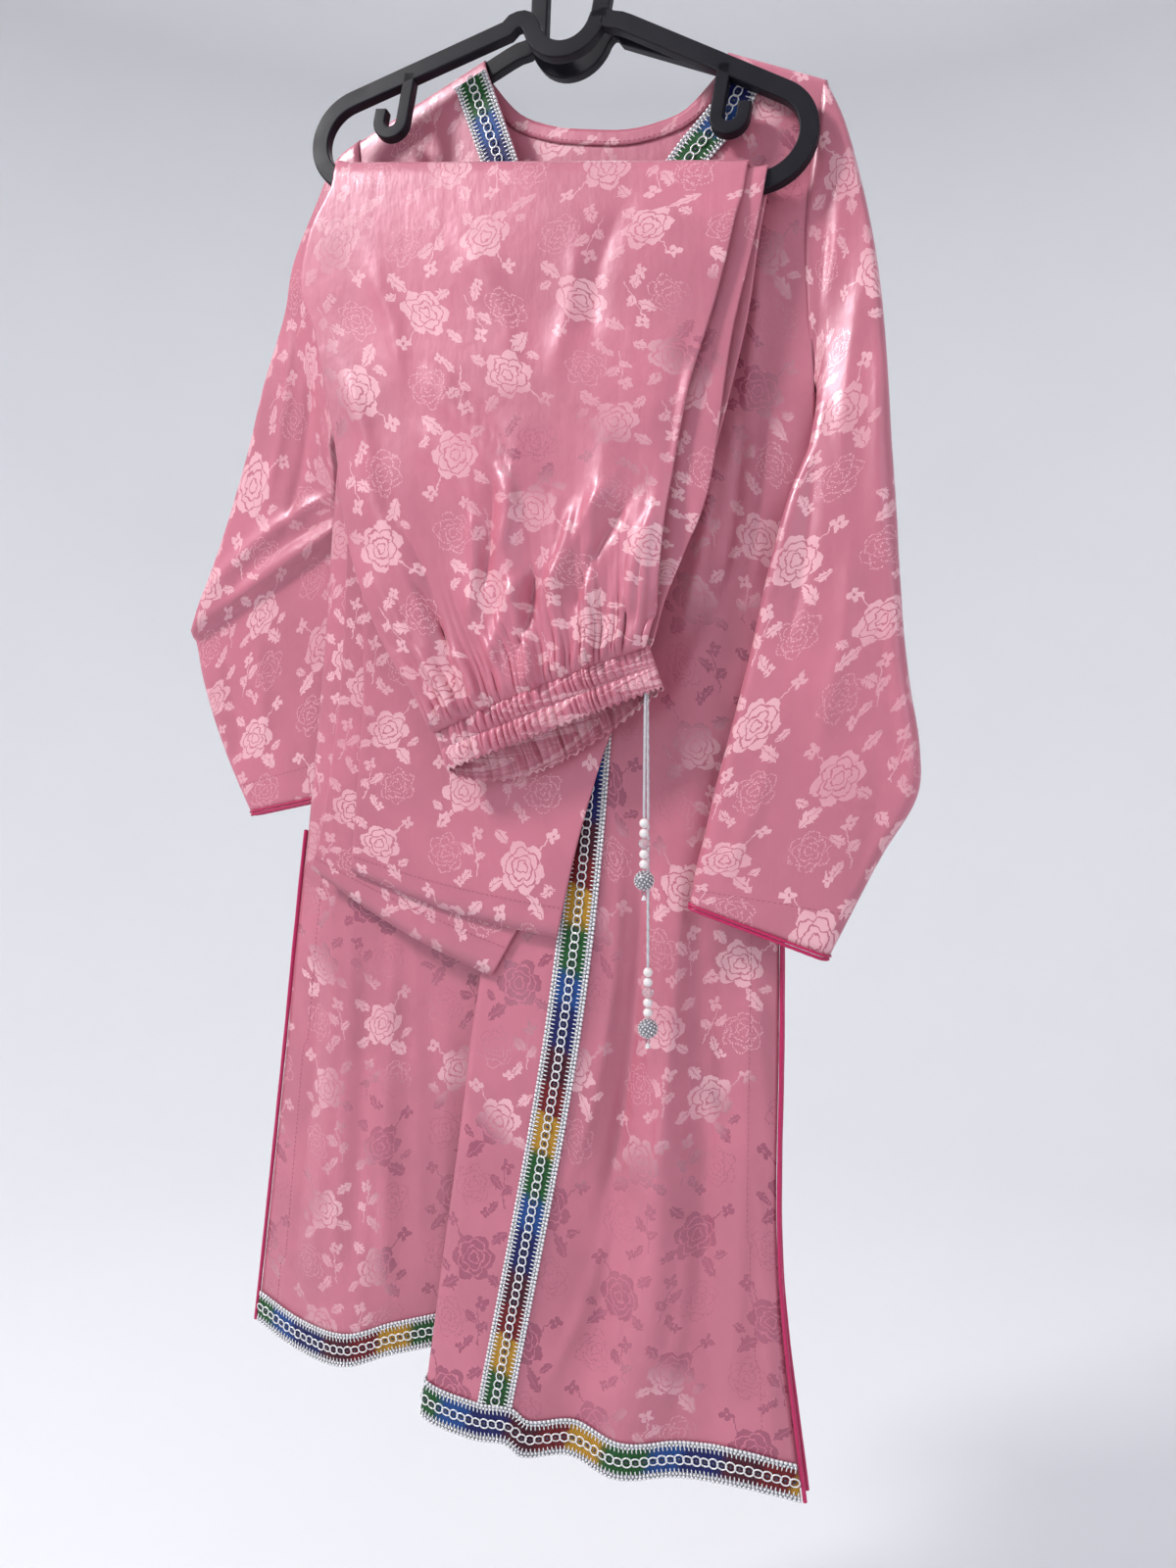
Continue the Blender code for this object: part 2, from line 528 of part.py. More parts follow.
def line_point(line, level, side):
    """A point on one fold line of a panel, at one level below the shoulder."""
    _, top_across, waist_across, hip_x, hem_x, chest_y, waist_y, hip_y, hem_y, hem_z, _ = line
    across = straight_between(((0.0, top_across), (LEVEL["underarm"], top_across),
                               (LEVEL["waist"], waist_across)), level)
    if across in (0.0, 1.0):
        x = edge_at(LEFT_EDGE if across == 0.0 else RIGHT_EDGE, level)
        y = side_y(level, across, side)
    else:
        at_underarm = LEVEL["underarm"]
        at_waist = LEVEL["waist"]
        left = edge_at(LEFT_EDGE, min(level, at_waist))
        right = edge_at(RIGHT_EDGE, min(level, at_waist))
        x = left + (right - left) * across
        if level > at_waist:
            under_x = (edge_at(LEFT_EDGE, at_underarm) * (1 - top_across)
                       + edge_at(RIGHT_EDGE, at_underarm) * top_across)
            x = eased([(at_underarm, under_x), (at_waist, x), (LEVEL["hip"], hip_x),
                       (LEVEL["hem"], hem_x)], level)
        y = eased([(0.0, chest_y), (LEVEL["underarm"], chest_y), (LEVEL["waist"], waist_y),
                   (LEVEL["hip"], hip_y), (LEVEL["hem"], hem_y)], level)
    shoulder_x = LEFT_EDGE["shoulder"] * (1 - top_across) + RIGHT_EDGE["shoulder"] * top_across
    top = shoulder_height(shoulder_x)
    z = top + (hem_z - top) * level
    return np.array((x, y, z))


def panel_columns(lines):
    """Column places along a panel: line numbers with even steps between them."""
    made = []
    for number, line in enumerate(lines[:-1]):
        for step in range(line[-1]):
            made.append(number + step / line[-1])
    made.append(len(lines) - 1)
    return made


def between_lines(points, at):
    """A smooth curve through the fold lines' points at one level."""
    i = min(int(at), len(points) - 2)
    t = at - i
    before = points[max(i - 1, 0)]
    start = points[i]
    end = points[i + 1]
    after = points[min(i + 2, len(points) - 1)]
    reach = np.linalg.norm(end - start)
    slope_a = (end - before) / (np.linalg.norm(end - start) + np.linalg.norm(start - before) + 1e-9)
    slope_b = (after - start) / (np.linalg.norm(after - end) + np.linalg.norm(end - start) + 1e-9)
    return ((2 * t ** 3 - 3 * t ** 2 + 1) * start + (t ** 3 - 2 * t ** 2 + t) * reach * slope_a
            + (3 * t ** 2 - 2 * t ** 3) * end + (t ** 3 - t ** 2) * reach * slope_b)


def panel_rows(lines, levels, columns, side):
    rows = []
    for level in levels:
        points = [line_point(line, level, side) for line in lines]
        rows.append([between_lines(points, at) for at in columns])
    return np.array(rows)


HEM_LEVEL = 1 - TRIM_WIDTH / 0.96
HEM_ROWS = (HEM_LEVEL, (HEM_LEVEL + 1) / 2, 1.0)
TOP_WRAP = ((0.0, 0.0), (0.60, 0.16), (1.0, 1.0))
WRAP_DROP = 0.0052


def body_panel(lines, side):
    """All rows of a panel, with the first ones wrapped over the hanger's arm to the seam."""
    columns = panel_columns(lines)
    rows = panel_rows(lines, (*BODY_ROWS, *HEM_ROWS), columns, side)
    wrapped = []
    for out, down in TOP_WRAP:
        row = panel_rows(lines, (0.0,), columns, side)[0]
        row[:, 1] = side * (SEAM_Y + (SHOULDER_Y - SEAM_Y) * out)
        row[:, 2] -= WRAP_DROP * down
        wrapped.append(row)
    return np.concatenate((np.array(wrapped), rows))


def panel_depth(grid, x, z):
    """y of a panel at one place on its upper part, where each row runs straight across."""
    heights = [float(np.interp(x, row[:, 0], row[:, 2])) for row in grid[:16]]
    depths = [float(np.interp(x, row[:, 0], row[:, 1])) for row in grid[:16]]
    return float(np.interp(-z, [-height for height in heights], depths))


def unit(vectors):
    return vectors / np.linalg.norm(vectors, axis=2, keepdims=True)


def outward(grid, side):
    """Normals of a grid of points to the side (-1 front, 1 back), longer where a fold turns."""
    down = unit(np.gradient(grid, axis=0))
    steps = np.diff(grid, axis=1)
    before = np.concatenate((steps[:, :1], steps), axis=1)
    after = np.concatenate((steps, steps[:, -1:]), axis=1)
    before = unit(before - down * (before * down).sum(axis=2, keepdims=True))
    after = unit(after - down * (after * down).sum(axis=2, keepdims=True))
    normal = unit(np.cross(down, before + after))
    if normal[..., 1].mean() * side < 0:
        normal = -normal
    turned = (before * after).sum(axis=2, keepdims=True)
    normal /= np.maximum(np.sqrt(np.maximum(1 + turned, 0.0) / 2), 0.4)
    return normal


def cutter_prism(name, outline):
    """A flat outline through the whole depth of the body, for the neck."""
    form = bmesh.new()
    near = [form.verts.new((x, -0.06, z)) for x, z in outline]
    form.faces.new(near)
    grown = bmesh.ops.extrude_face_region(form, geom=form.faces[:])
    moved = [v for v in grown["geom"] if isinstance(v, bmesh.types.BMVert)]
    bmesh.ops.translate(form, verts=moved, vec=(0, 0.12, 0))
    bmesh.ops.recalc_face_normals(form, faces=form.faces)
    mesh = bpy.data.meshes.new(name)
    form.to_mesh(mesh)
    form.free()
    thing = add_object(name, mesh, None, CUTTERS)
    thing.hide_render = True
    thing.display_type = "WIRE"
    return thing


def beside(outline, distance):
    """A flat line moved sideways by a distance, to the right hand of its way along."""
    points = [Vector(p) for p in outline]
    made = []
    for i, point in enumerate(points):
        ahead = points[min(i + 1, len(points) - 1)] - points[max(i - 1, 0)]
        normal = Vector((ahead.y, -ahead.x)).normalized()
        made.append(point + normal * distance)
    return made


def laid_strip(name, inner, outer, grid, lift, thickness, finish):
    """A strip lying on a panel, three points across, between its inner and outer lines."""
    rows = []
    for a, b in zip(inner, outer):
        row = []
        for share in (0.0, 0.5, 1.0):
            p = a.lerp(b, share)
            z = min(p.y, shoulder_height(p.x) - WRAP_DROP - STRIP_STOP)
            row.append((p.x, panel_depth(grid, p.x, z) + lift, z))
        rows.append(row)
    return cloth_wall(name, rows, thickness, finish)


def finer(line, longest):
    """The same line with no step longer than the length given."""
    made = [Vector(line[0])]
    for a, b in zip(line, line[1:]):
        start = Vector(a)
        end = Vector(b)
        steps = max(1, math.ceil((end - start).length / longest))
        made += [start.lerp(end, i / steps) for i in range(1, steps + 1)]
    return made


def neck_trims(grid, lift):
    """Braid along both sides of the V, mitred on the middle line below its point."""
    point = Vector(FRONT_NECK[NECK_POINT])
    foot = point - Vector((0.0, MITRE_DROP))
    sides = (("left", [Vector(p) for p in FRONT_NECK[1:NECK_POINT + 1]], 1),
             ("right", [Vector(p) for p in reversed(FRONT_NECK[NECK_POINT:-1])], -1))
    for name, edge, turn in sides:
        line = finer(edge, 0.026)
        inner = beside(line, turn * SEAM_GAP)
        outer = beside(line, turn * TRIM_WIDTH)
        inner[-1] = point + Vector((-turn * SEAM_GAP, 0.0))
        inner.append(foot + Vector((-turn * SEAM_GAP, 0.0)))
        outer.append(foot + Vector((-turn * TRIM_WIDTH / 2, 0.0)))
        laid_strip("neck_trim_" + name, inner, outer, grid, lift, TRIM, BRAID)
    return foot


def edge_piping(name, grid, column, first_row, outwards, side):
    """A fine round cord sewn along a slit edge, just outside it."""
    line = []
    for row in grid[first_row:]:
        point = row[column].copy()
        point[0] += outwards * (PIPING_RADIUS + CLOTH / 2 + SEAM_GAP)
        line.append(point)
    return round_cord(name, line, PIPING_RADIUS, PIPING)


def round_cord(name, line, radius, finish, cyclic=False, sides=2):
    curve = bpy.data.curves.new(name, "CURVE")
    curve.dimensions = "3D"
    curve.bevel_depth = radius
    curve.bevel_resolution = sides
    curve.use_fill_caps = True
    spline = curve.splines.new("POLY")
    spline.points.add(len(line) - 1)
    for point, at in zip(spline.points, line):
        point.co = (*at, 1.0)
    spline.use_cyclic_u = cyclic
    return add_object(name, curve, finish)


# Sleeves

def armhole_x(edge, hem_z, z):
    """Where the body's side edge is at a height, a seam's gap further out."""
    top = shoulder_height(edge["shoulder"])
    level = min(max((z - top) / (hem_z - top), 0.0), LEVEL["underarm"])
    out = math.copysign(ARMHOLE_EASE, edge["shoulder"])
    return edge_at(edge, level) + out


def flat_tube_places(length, half):
    """Round a flattened tube: distance from its inner edge and depth, for each point."""
    side = [(0.3 * half, 0.71), (half, 1.0)]
    side += [(half + (length - 2 * half) * i / (SLEEVE_COLUMNS + 1), 1.0)
             for i in range(1, SLEEVE_COLUMNS + 1)]
    side += [(length - half, 1.0), (length - 0.3 * half, 0.71)]
    return [(0.0, 0.0), *side, (length, 0.0), *[(at, -depth) for at, depth in reversed(side)]]


def sleeve_rings(table, edge, hem_z):
    """Rings from armhole to cuff: the front wall out to the outer edge, then the back wall."""
    rings = []
    for number, (outer_x, outer_z, inner_x, inner_z, outer_y, inner_y, half) in enumerate(table):
        inner = Vector((inner_x, inner_y, inner_z))
        outer = Vector((outer_x, outer_y, outer_z))
        length = (outer - inner).length
        share = ARMHOLE_SHARE[number] if number < len(ARMHOLE_SHARE) else 0.0
        ring = []
        for at, depth in flat_tube_places(length, half):
            point = inner.lerp(outer, at / length)
            first = Vector(table[0][:2]).lerp(Vector(table[0][2:4]), 1 - at / length)
            point.x += share * (armhole_x(edge, hem_z, first.y) - first.x)
            point.y -= half * depth
            ring.append(point)
        rings.append(ring)
    return rings


def cuff_piping(name, ring):
    """A fine cord round the cuff's edge, just below it."""
    along = (ring[0] - ring[len(ring) // 2]).normalized()
    down = Vector((along.z, 0.0, -along.x))
    if down.z > 0:
        down = -down
    line = [p + down * (CUFF_PIPING_RADIUS + SEAM_GAP) for p in ring]
    return round_cord(name, line, CUFF_PIPING_RADIUS, PIPING, cyclic=True, sides=1)


# Trousers

def bar_centre(x):
    """A point along the front hanger's bar, in place, from its place on the drawing."""
    over = max(abs(x) - END_CENTRE[0], 0.0)
    z = END_CENTRE[1] - math.sqrt(END_RADIUS ** 2 - over ** 2)
    return FRONT_PLACE @ Vector((x, z, 0.0))


def flap_row(row, columns, sag=0.0):
    left_x, left_z, right_x, right_z, left_y, right_y = row
    made = []
    for i in range(columns + 1):
        t = i / columns
        dip = sag * math.sin(math.pi * t)
        made.append(Vector((left_x + (right_x - left_x) * t, left_y + (right_y - left_y) * t,
                            left_z + (right_z - left_z) * t - dip)))
    return made


def bar_rows(span, layers, columns):
    """Rows over the bar, front to back, outside a number of cloth layers."""
    out = layers * (FOLDED_LEG + SEAM_GAP + 0.0006) - FOLDED_LEG / 2
    reach_deep = HANGER_DEEP / 2 + out
    reach_up = HANGER_WIDE / 2 + out
    turn = FRONT_PLACE.to_3x3()
    rows = []
    for deep, up in BAR_WRAP:
        offset = turn @ Vector((0.0, up * reach_up, deep * reach_deep))
        rows.append([bar_centre(span[0] + (span[1] - span[0]) * i / columns) + offset
                     for i in range(columns + 1)])
    return rows


def gathered(row, depth):
    """Alternate points pushed out and in, for the gathers."""
    return [point + Vector((0.0, depth * (1 if i % 2 else -1), 0.0)) for i, point in enumerate(row)]


def outer_leg_rows():
    fine = OUTER_COLUMNS * 4
    half = OUTER_COLUMNS * 2
    rows = [gathered(flap_row(OUTER_FRONT[0], fine), 0.0006),
            gathered(flap_row(OUTER_FRONT[1], fine), 0.0009),
            gathered(flap_row(OUTER_FRONT[2], half), 0.0017),
            gathered(flap_row(OUTER_FRONT[3], half), 0.0019),
            gathered(flap_row(OUTER_FRONT[4], OUTER_COLUMNS), 0.0018),
            gathered(flap_row(OUTER_FRONT[5], OUTER_COLUMNS), 0.0014)]
    rows += [flap_row(row, OUTER_COLUMNS) for row in OUTER_FRONT[6:]]
    rows += bar_rows(OUTER_BAR_SPAN, 2, OUTER_COLUMNS)
    rows += [flap_row(row, OUTER_COLUMNS) for row in OUTER_BACK[:-1]]
    rows.append(flap_row(OUTER_BACK[-1], OUTER_COLUMNS, HEM_SAG))
    return rows


def inner_leg_rows():
    rows = [flap_row(row, INNER_COLUMNS) for row in INNER_FRONT]
    rows += bar_rows(INNER_BAR_SPAN, 1, INNER_COLUMNS)
    rows += [flap_row(row, INNER_COLUMNS) for row in INNER_BACK[:-1]]
    rows.append(flap_row(INNER_BACK[-1], INNER_COLUMNS, HEM_SAG))
    return rows


def waistband_rings():
    """Rings down the band: the front half from left to right, then the rear half back."""
    left = Vector(BAND_LEFT)
    right = Vector(BAND_RIGHT)
    along = (right - left).normalized()
    down = Vector((along.z, 0.0, -along.x))
    rings = []
    for place, puff in BAND_ROWS:
        ring = []
        for half, gathers in ((-1, FRONT_GATHERS), (1, REAR_GATHERS)):
            count = 2 * gathers
            for i in range(count):
                t = i / count if half < 0 else 1 - i / count
                bow = math.sin(math.pi * t) ** 0.35 if 0 < t < 1 else 0.0
                out = half * (BAND_HALF_DEPTH + puff) * bow
                wave = GATHER_DEPTH * (1 if i % 2 else -1) * bow
                drop = BAND_REAR_DROP * place * math.sin(math.pi * t ** 0.7) if half > 0 else 0.0
                point = left.lerp(right, t) + down * (BAND_HEIGHT * (place - 0.5) + drop)
                point.y += out + wave
                ring.append(point)
        rings.append(ring)
    return rings


# Tassels

def bead_profile(top):
    """Half outline, top to bottom, of the beads on one tassel: radius and height."""
    outline = [(0.0, top), (CORD_RADIUS * 0.7, top)]
    z = top

    def bead(radius, height, steps):
        nonlocal z
        for i in range(1, steps):
            angle = math.pi * i / steps
            outline.append((max(radius * math.sin(angle), 0.0007), z - height / 2 * (1 - math.cos(angle))))
        z -= height
        outline.append((0.0008, z))

    for radius, height, steps in ((PEARL, 2 * PEARL, 5), (PEARL, 2 * PEARL, 5),
                                  (CRYSTAL, 0.0070, 2), (PEARL, 2 * PEARL, 5),
                                  (PEARL, 2 * PEARL, 5), (BALL, 2 * BALL, 6), (CAP, 0.0060, 2)):
        bead(radius, height, steps)
    outline[-1] = (0.0, z)
    return outline


def tassel_beads(name, x, y, top):
    mesh = bpy.data.meshes.new(name)
    outline = bead_profile(0.0)
    mesh.from_pydata([(r, 0.0, z) for r, z in outline],
                     [(i, i + 1) for i in range(len(outline) - 1)], [])
    thing = add_object(name, mesh, PEARLS)
    turn = thing.modifiers.new("turn", "SCREW")
    turn.steps = 8
    turn.render_steps = 8
    turn.use_merge_vertices = True
    turn.merge_threshold = 0.00001
    turn.use_normal_calculate = True
    thing.location = (x, y, top)
    return thing


def build():
    make_hanger("hanger_front", FRONT_PLACE, 1)
    make_hanger("hanger_rear", REAR_PLACE, -1)

    front_grid = body_panel(FRONT_LINES, -1)
    back_grid = body_panel(BACK_LINES, 1)
    front = cloth_wall("kameez_front", front_grid, CLOTH, SATIN)
    back = cloth_wall("kameez_back", back_grid, CLOTH, SATIN, flip=True)
    boolean(front, cutter_prism("front_neck_cutter", FRONT_NECK), "DIFFERENCE")
    boolean(back, cutter_prism("back_neck_cutter", BACK_NECK), "DIFFERENCE")

    lift = (CLOTH + TRIM) / 2 + SEAM_GAP + 0.0001
    foot = neck_trims(front_grid, -lift - SEAM_GAP)
    neck_line = finer(BACK_NECK[1:-1], 0.022)
    facing_lift = -(CLOTH + FACING) / 2 - SEAM_GAP
    laid_strip("neck_facing", beside(neck_line, SEAM_GAP), beside(neck_line, FACING_WIDTH),
               back_grid, facing_lift, FACING, SATIN)

    lifted = front_grid + outward(front_grid, -1) * lift
    cloth_wall("hem_trim", lifted[-len(HEM_ROWS):], TRIM, BRAID)
    trim_left = panel_columns(FRONT_LINES).index(8)
    strip = lifted[:1 - len(HEM_ROWS), trim_left:trim_left + 2]
    below = next(i for i in range(len(strip)) if strip[i, 0, 2] < foot.y - 0.001)
    share = (foot.y - SEAM_GAP - strip[below - 1, 0, 2]) / (strip[below, 0, 2] - strip[below - 1, 0, 2])
    first = strip[below - 1] * (1 - share) + strip[below] * share
    last = strip[-2] * 0.02 + strip[-1] * 0.98
    cloth_wall("centre_front_trim", [first, *strip[below:-1], last], TRIM, BRAID)

    slit_row = len(TOP_WRAP) + next(i for i, level in enumerate(BODY_ROWS) if level > SLIT_TOP)
    for side, grid in ((-1, front_grid), (1, back_grid)):
        panel = "front" if side < 0 else "back"
        edge_piping("slit_piping_left_" + panel, grid, 0, slit_row, -1, side)
        edge_piping("slit_piping_right_" + panel, grid, -1, slit_row, 1, side)

    for name, table, edge, hem_z in (("sleeve_left", LEFT_SLEEVE, LEFT_EDGE, FRONT_LINES[0][-2]),
                                     ("sleeve_right", RIGHT_SLEEVE, RIGHT_EDGE, FRONT_LINES[-1][-2])):
        rings = sleeve_rings(table, edge, hem_z)
        cloth_wall(name, rings, CLOTH, SATIN, closed=True)
        cuff_piping(name.replace("sleeve", "cuff_piping"), rings[-1])

    layered_wall("shalwar_outer_leg", outer_leg_rows(), FOLDED_LEG, 0.0022, SATIN)
    layered_wall("shalwar_inner_leg", inner_leg_rows(), FOLDED_LEG, 0.0022, SATIN)
    cloth_wall("shalwar_waistband", waistband_rings(), BAND_WALL, SATIN, closed=True)

    x, y, z = CORD_TOP
    for name, side, end in (("short", -1, SHORT_CORD_END), ("long", 1, LONG_CORD_END)):
        line = []
        for i in range(CORD_STEPS + 1):
            at_z = z + (end - z) * i / CORD_STEPS
            spread = min((z - at_z) / (z - SHORT_CORD_END) * 1.2, 1.0)
            off = side * (CORD_SPACE + (TASSEL_SPACE - CORD_SPACE) * spread)
            line.append(Vector((x, y + off, at_z)))
        round_cord("tassel_cord_" + name, line, CORD_RADIUS, SILVER)
        tassel_beads("tassel_beads_" + name, x, y + side * TASSEL_SPACE, end - SEAM_GAP)


build()
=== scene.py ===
"""Dressed scene of the shalwar kameez: satin, braid, piping, tassels and hangers.

Metres, +Z up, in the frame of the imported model. The front of the garment faces -Y.
"""
import math

import bpy
import numpy as np
from mathutils import Matrix, Vector


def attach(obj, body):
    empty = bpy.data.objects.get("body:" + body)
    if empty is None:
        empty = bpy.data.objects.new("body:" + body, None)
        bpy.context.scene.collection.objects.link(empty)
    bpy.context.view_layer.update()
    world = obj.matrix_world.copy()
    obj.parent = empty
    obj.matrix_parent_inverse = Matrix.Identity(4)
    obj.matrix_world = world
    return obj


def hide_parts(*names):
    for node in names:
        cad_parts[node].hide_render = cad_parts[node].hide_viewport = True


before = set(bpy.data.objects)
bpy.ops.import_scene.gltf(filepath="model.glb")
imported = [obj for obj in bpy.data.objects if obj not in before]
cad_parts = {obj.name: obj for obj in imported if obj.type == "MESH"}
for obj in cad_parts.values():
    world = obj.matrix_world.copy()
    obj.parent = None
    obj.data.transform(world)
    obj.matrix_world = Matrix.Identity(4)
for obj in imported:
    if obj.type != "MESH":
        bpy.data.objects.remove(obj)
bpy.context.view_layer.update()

# Cloth and trim, as cut
CLOTH = 0.0006
LEG_LAYERS = 0.0026
SEAM_GAP = 0.0003
PANEL_WALL = 0.0012
TRIM_WALL = 0.0010
TRIM_WIDTH = 0.026
BRAID_CLOTH = 0.0006
BRAID_LIFT = 0.0006
BRAID_REPEAT = 0.165
PIPING_RADIUS = 0.0016
CUFF_PIPING_RADIUS = 0.0012

# Camera: where it stands, how far it turns to the left and down
CAMERA_AT = (0.2807, -0.7659, -0.587)
CAMERA_TURN = math.radians(20.0)
CAMERA_DOWN = math.radians(1.5)
CAMERA_LENS = 26.0
FLOOR_Z = -1.46
BOWL_FLOOR = 1.7
BOWL_CURVE = 1.6
BOWL_WALL = 1.6

# Hanger drawing, seen from the front with its hook's stem on the right
HANGER_WIDE = 0.0126
HANGER_DEEP = 0.0080
ARM_START = (0.034, -0.0805)
ARM_END_X = 0.160
ARM_SLOPE = math.radians(23.0)
END_RADIUS = 0.032
DIP_CENTRE = (-0.004, -0.0765)
DIP_RADIUS = 0.0245
STEM_X = 0.0215
HOOK_RADIUS = 0.0235
HOOK_TOP = 0.0075
HOOK_SWEEP = math.radians(205.0)
STRAP_X = 0.116
STRAP_DROP = 0.150
STRAP_RADIUS = 0.009
STRAP_TIP = 0.0085
FRONT_HANG = ((0.0068, -0.0093, 0.0), math.radians(8.5), math.radians(5.7), math.radians(3.4))
REAR_HANG = ((-0.0100, 0.0, 0.0), math.radians(2.5), 0.0, 0.0)

# Tunic: level down the body (0 shoulder, 1 hem), and its side edges there
LEVEL = dict(shoulder=0.0, chest=0.10, underarm=0.24, waist=0.42, hip=0.68, skirt=0.84, hem=1.0)
LEFT_EDGE = dict(shoulder=-0.1820, chest=-0.1760, underarm=-0.2020, waist=-0.2180,
                 hip=-0.2460, skirt=-0.2660, hem=-0.2870)
RIGHT_EDGE = dict(shoulder=0.1700, chest=0.1580, underarm=0.1630, waist=0.1430,
                  hip=0.1400, skirt=0.1400, hem=0.1580)
SHOULDER_Y = 0.0064
WRAP_DROP = 0.0052
STRIP_STOP = 0.0065
SLIT_TOP = 0.565
SLIT_HEM = 0.0185
CUFF_HEM = 0.024
TROUSER_HEM = 0.022
EDGE_GAP = ((0.0, 0.0064), (0.21, 0.0064), (0.24, 0.0008), (0.565, 0.0008), (0.60, 0.0019),
            (0.84, 0.0035), (1.0, 0.0045))
SIDE_MIDDLE_LEFT = ((0.0, 0.0), (0.68, 0.0010), (1.0, 0.0080))
SIDE_MIDDLE_RIGHT = ((0.0, 0.0), (0.68, 0.0), (1.0, 0.0))

# Panels, one row for each fold line: name, place across at the top and the waist, x at hip and
# hem, y at chest, waist, hip and hem, height of the hem, columns to the next line
FRONT_LINES = (
    ("side_left", 0.000, 0.000, -0.2460, -0.2870, 0, 0, 0, 0, -1.050, 10),
    ("left_swell", 0.090, 0.100, -0.2120, -0.2400, -0.0072, -0.0085, -0.0085, -0.0060, -1.062, 10),
    ("left_ridge", 0.185, 0.210, -0.1720, -0.1960, -0.0078, -0.0110, -0.0120, -0.0120, -1.064, 10),
    ("left_return", 0.285, 0.325, -0.1300, -0.1580, -0.0080, -0.0110, -0.0080, -0.0020, -1.052, 12),
    ("crease_back", 0.370, 0.420, -0.0600, -0.0880, -0.0080, -0.0110, -0.0070, 0.0060, -1.034, 5),
    ("crease_front", 0.390, 0.445, -0.0560, -0.0830, -0.0080, -0.0113, -0.0105, -0.0090, -1.045, 6),
    ("edge_back", 0.410, 0.462, -0.0690, -0.1120, -0.0080, -0.0118, -0.0145, -0.0190, -1.070, 6),
    ("pleat_edge", 0.430, 0.485, -0.0750, -0.1190, -0.0080, -0.0124, -0.0188, -0.0270, -1.079, 10),
    ("centre_left", 0.535, 0.610, -0.0190, -0.0770, -0.0085, -0.0130, -0.0205, -0.0300, -1.086, 6),
    ("centre_right", 0.609, 0.681, 0.0070, -0.0510, -0.0085, -0.0125, -0.0195, -0.0290, -1.085, 5),
    ("small_step", 0.650, 0.710, 0.0190, -0.0400, -0.0085, -0.0115, -0.0155, -0.0250, -1.094, 10),
    ("right_hollow", 0.735, 0.775, 0.0430, -0.0080, -0.0082, -0.0105, -0.0110, -0.0140, -1.092, 10),
    ("right_ridge", 0.815, 0.835, 0.0680, 0.0300, -0.0080, -0.0110, -0.0150, -0.0200, -1.098, 10),
    ("right_valley", 0.880, 0.890, 0.0930, 0.0720, -0.0076, -0.0090, -0.0100, -0.0100, -1.093, 10),
    ("right_swell", 0.945, 0.950, 0.1200, 0.1180, -0.0072, -0.0065, -0.0085, -0.0120, -1.089, 10),
    ("side_right", 1.000, 1.000, 0.1400, 0.1580, 0, 0, 0, 0, -1.095, 0),
)
BACK_LINES = (
    ("side_left", 0.000, 0.000, -0.2460, -0.2870, 0, 0, 0, 0, -1.052, 13),
    ("left_swell", 0.140, 0.140, -0.2020, -0.2380, 0.0072, 0.0090, 0.0120, 0.0240, -1.058, 13),
    ("left_valley", 0.280, 0.280, -0.1500, -0.1840, 0.0080, 0.0100, 0.0090, 0.0150, -1.062, 13),
    ("left_ridge", 0.400, 0.400, -0.1020, -0.1320, 0.0080, 0.0120, 0.0160, 0.0270, -1.056, 13),
    ("middle", 0.520, 0.520, -0.0480, -0.0740, 0.0080, 0.0110, 0.0110, 0.0180, -1.072, 13),
    ("right_ridge", 0.640, 0.640, 0.0000, -0.0160, 0.0080, 0.0120, 0.0170, 0.0240, -1.084, 13),
    ("right_valley", 0.760, 0.760, 0.0500, 0.0420, 0.0080, 0.0100, 0.0090, 0.0100, -1.090, 13),
    ("right_swell", 0.880, 0.880, 0.0980, 0.1020, 0.0072, 0.0085, 0.0120, 0.0160, -1.088, 13),
    ("side_right", 1.000, 1.000, 0.1400, 0.1580, 0, 0, 0, 0, -1.092, 0),
)
FRONT_NECK = ((-0.0850, -0.0500), (-0.0745, -0.0880), (-0.0497, -0.1560), (-0.0290, -0.2150),
              (0.0060, -0.3180), (0.0190, -0.2630), (0.0380, -0.2150), (0.0673, -0.1753),
              (0.0990, -0.1420), (0.1040, -0.1180), (0.1045, -0.0500))
BACK_NECK = ((-0.0850, -0.0500), (-0.0794, -0.0870), (-0.0535, -0.1186), (-0.0266, -0.1328),
             (-0.0002, -0.1398), (0.0293, -0.1453), (0.0509, -0.1446), (0.0721, -0.1392),
             (0.1025, -0.1122), (0.1045, -0.0500))
NECK_POINT = 4
MITRE_DROP = 0.042
FACING_WIDTH = 0.011
FACING_WALL = 0.0008

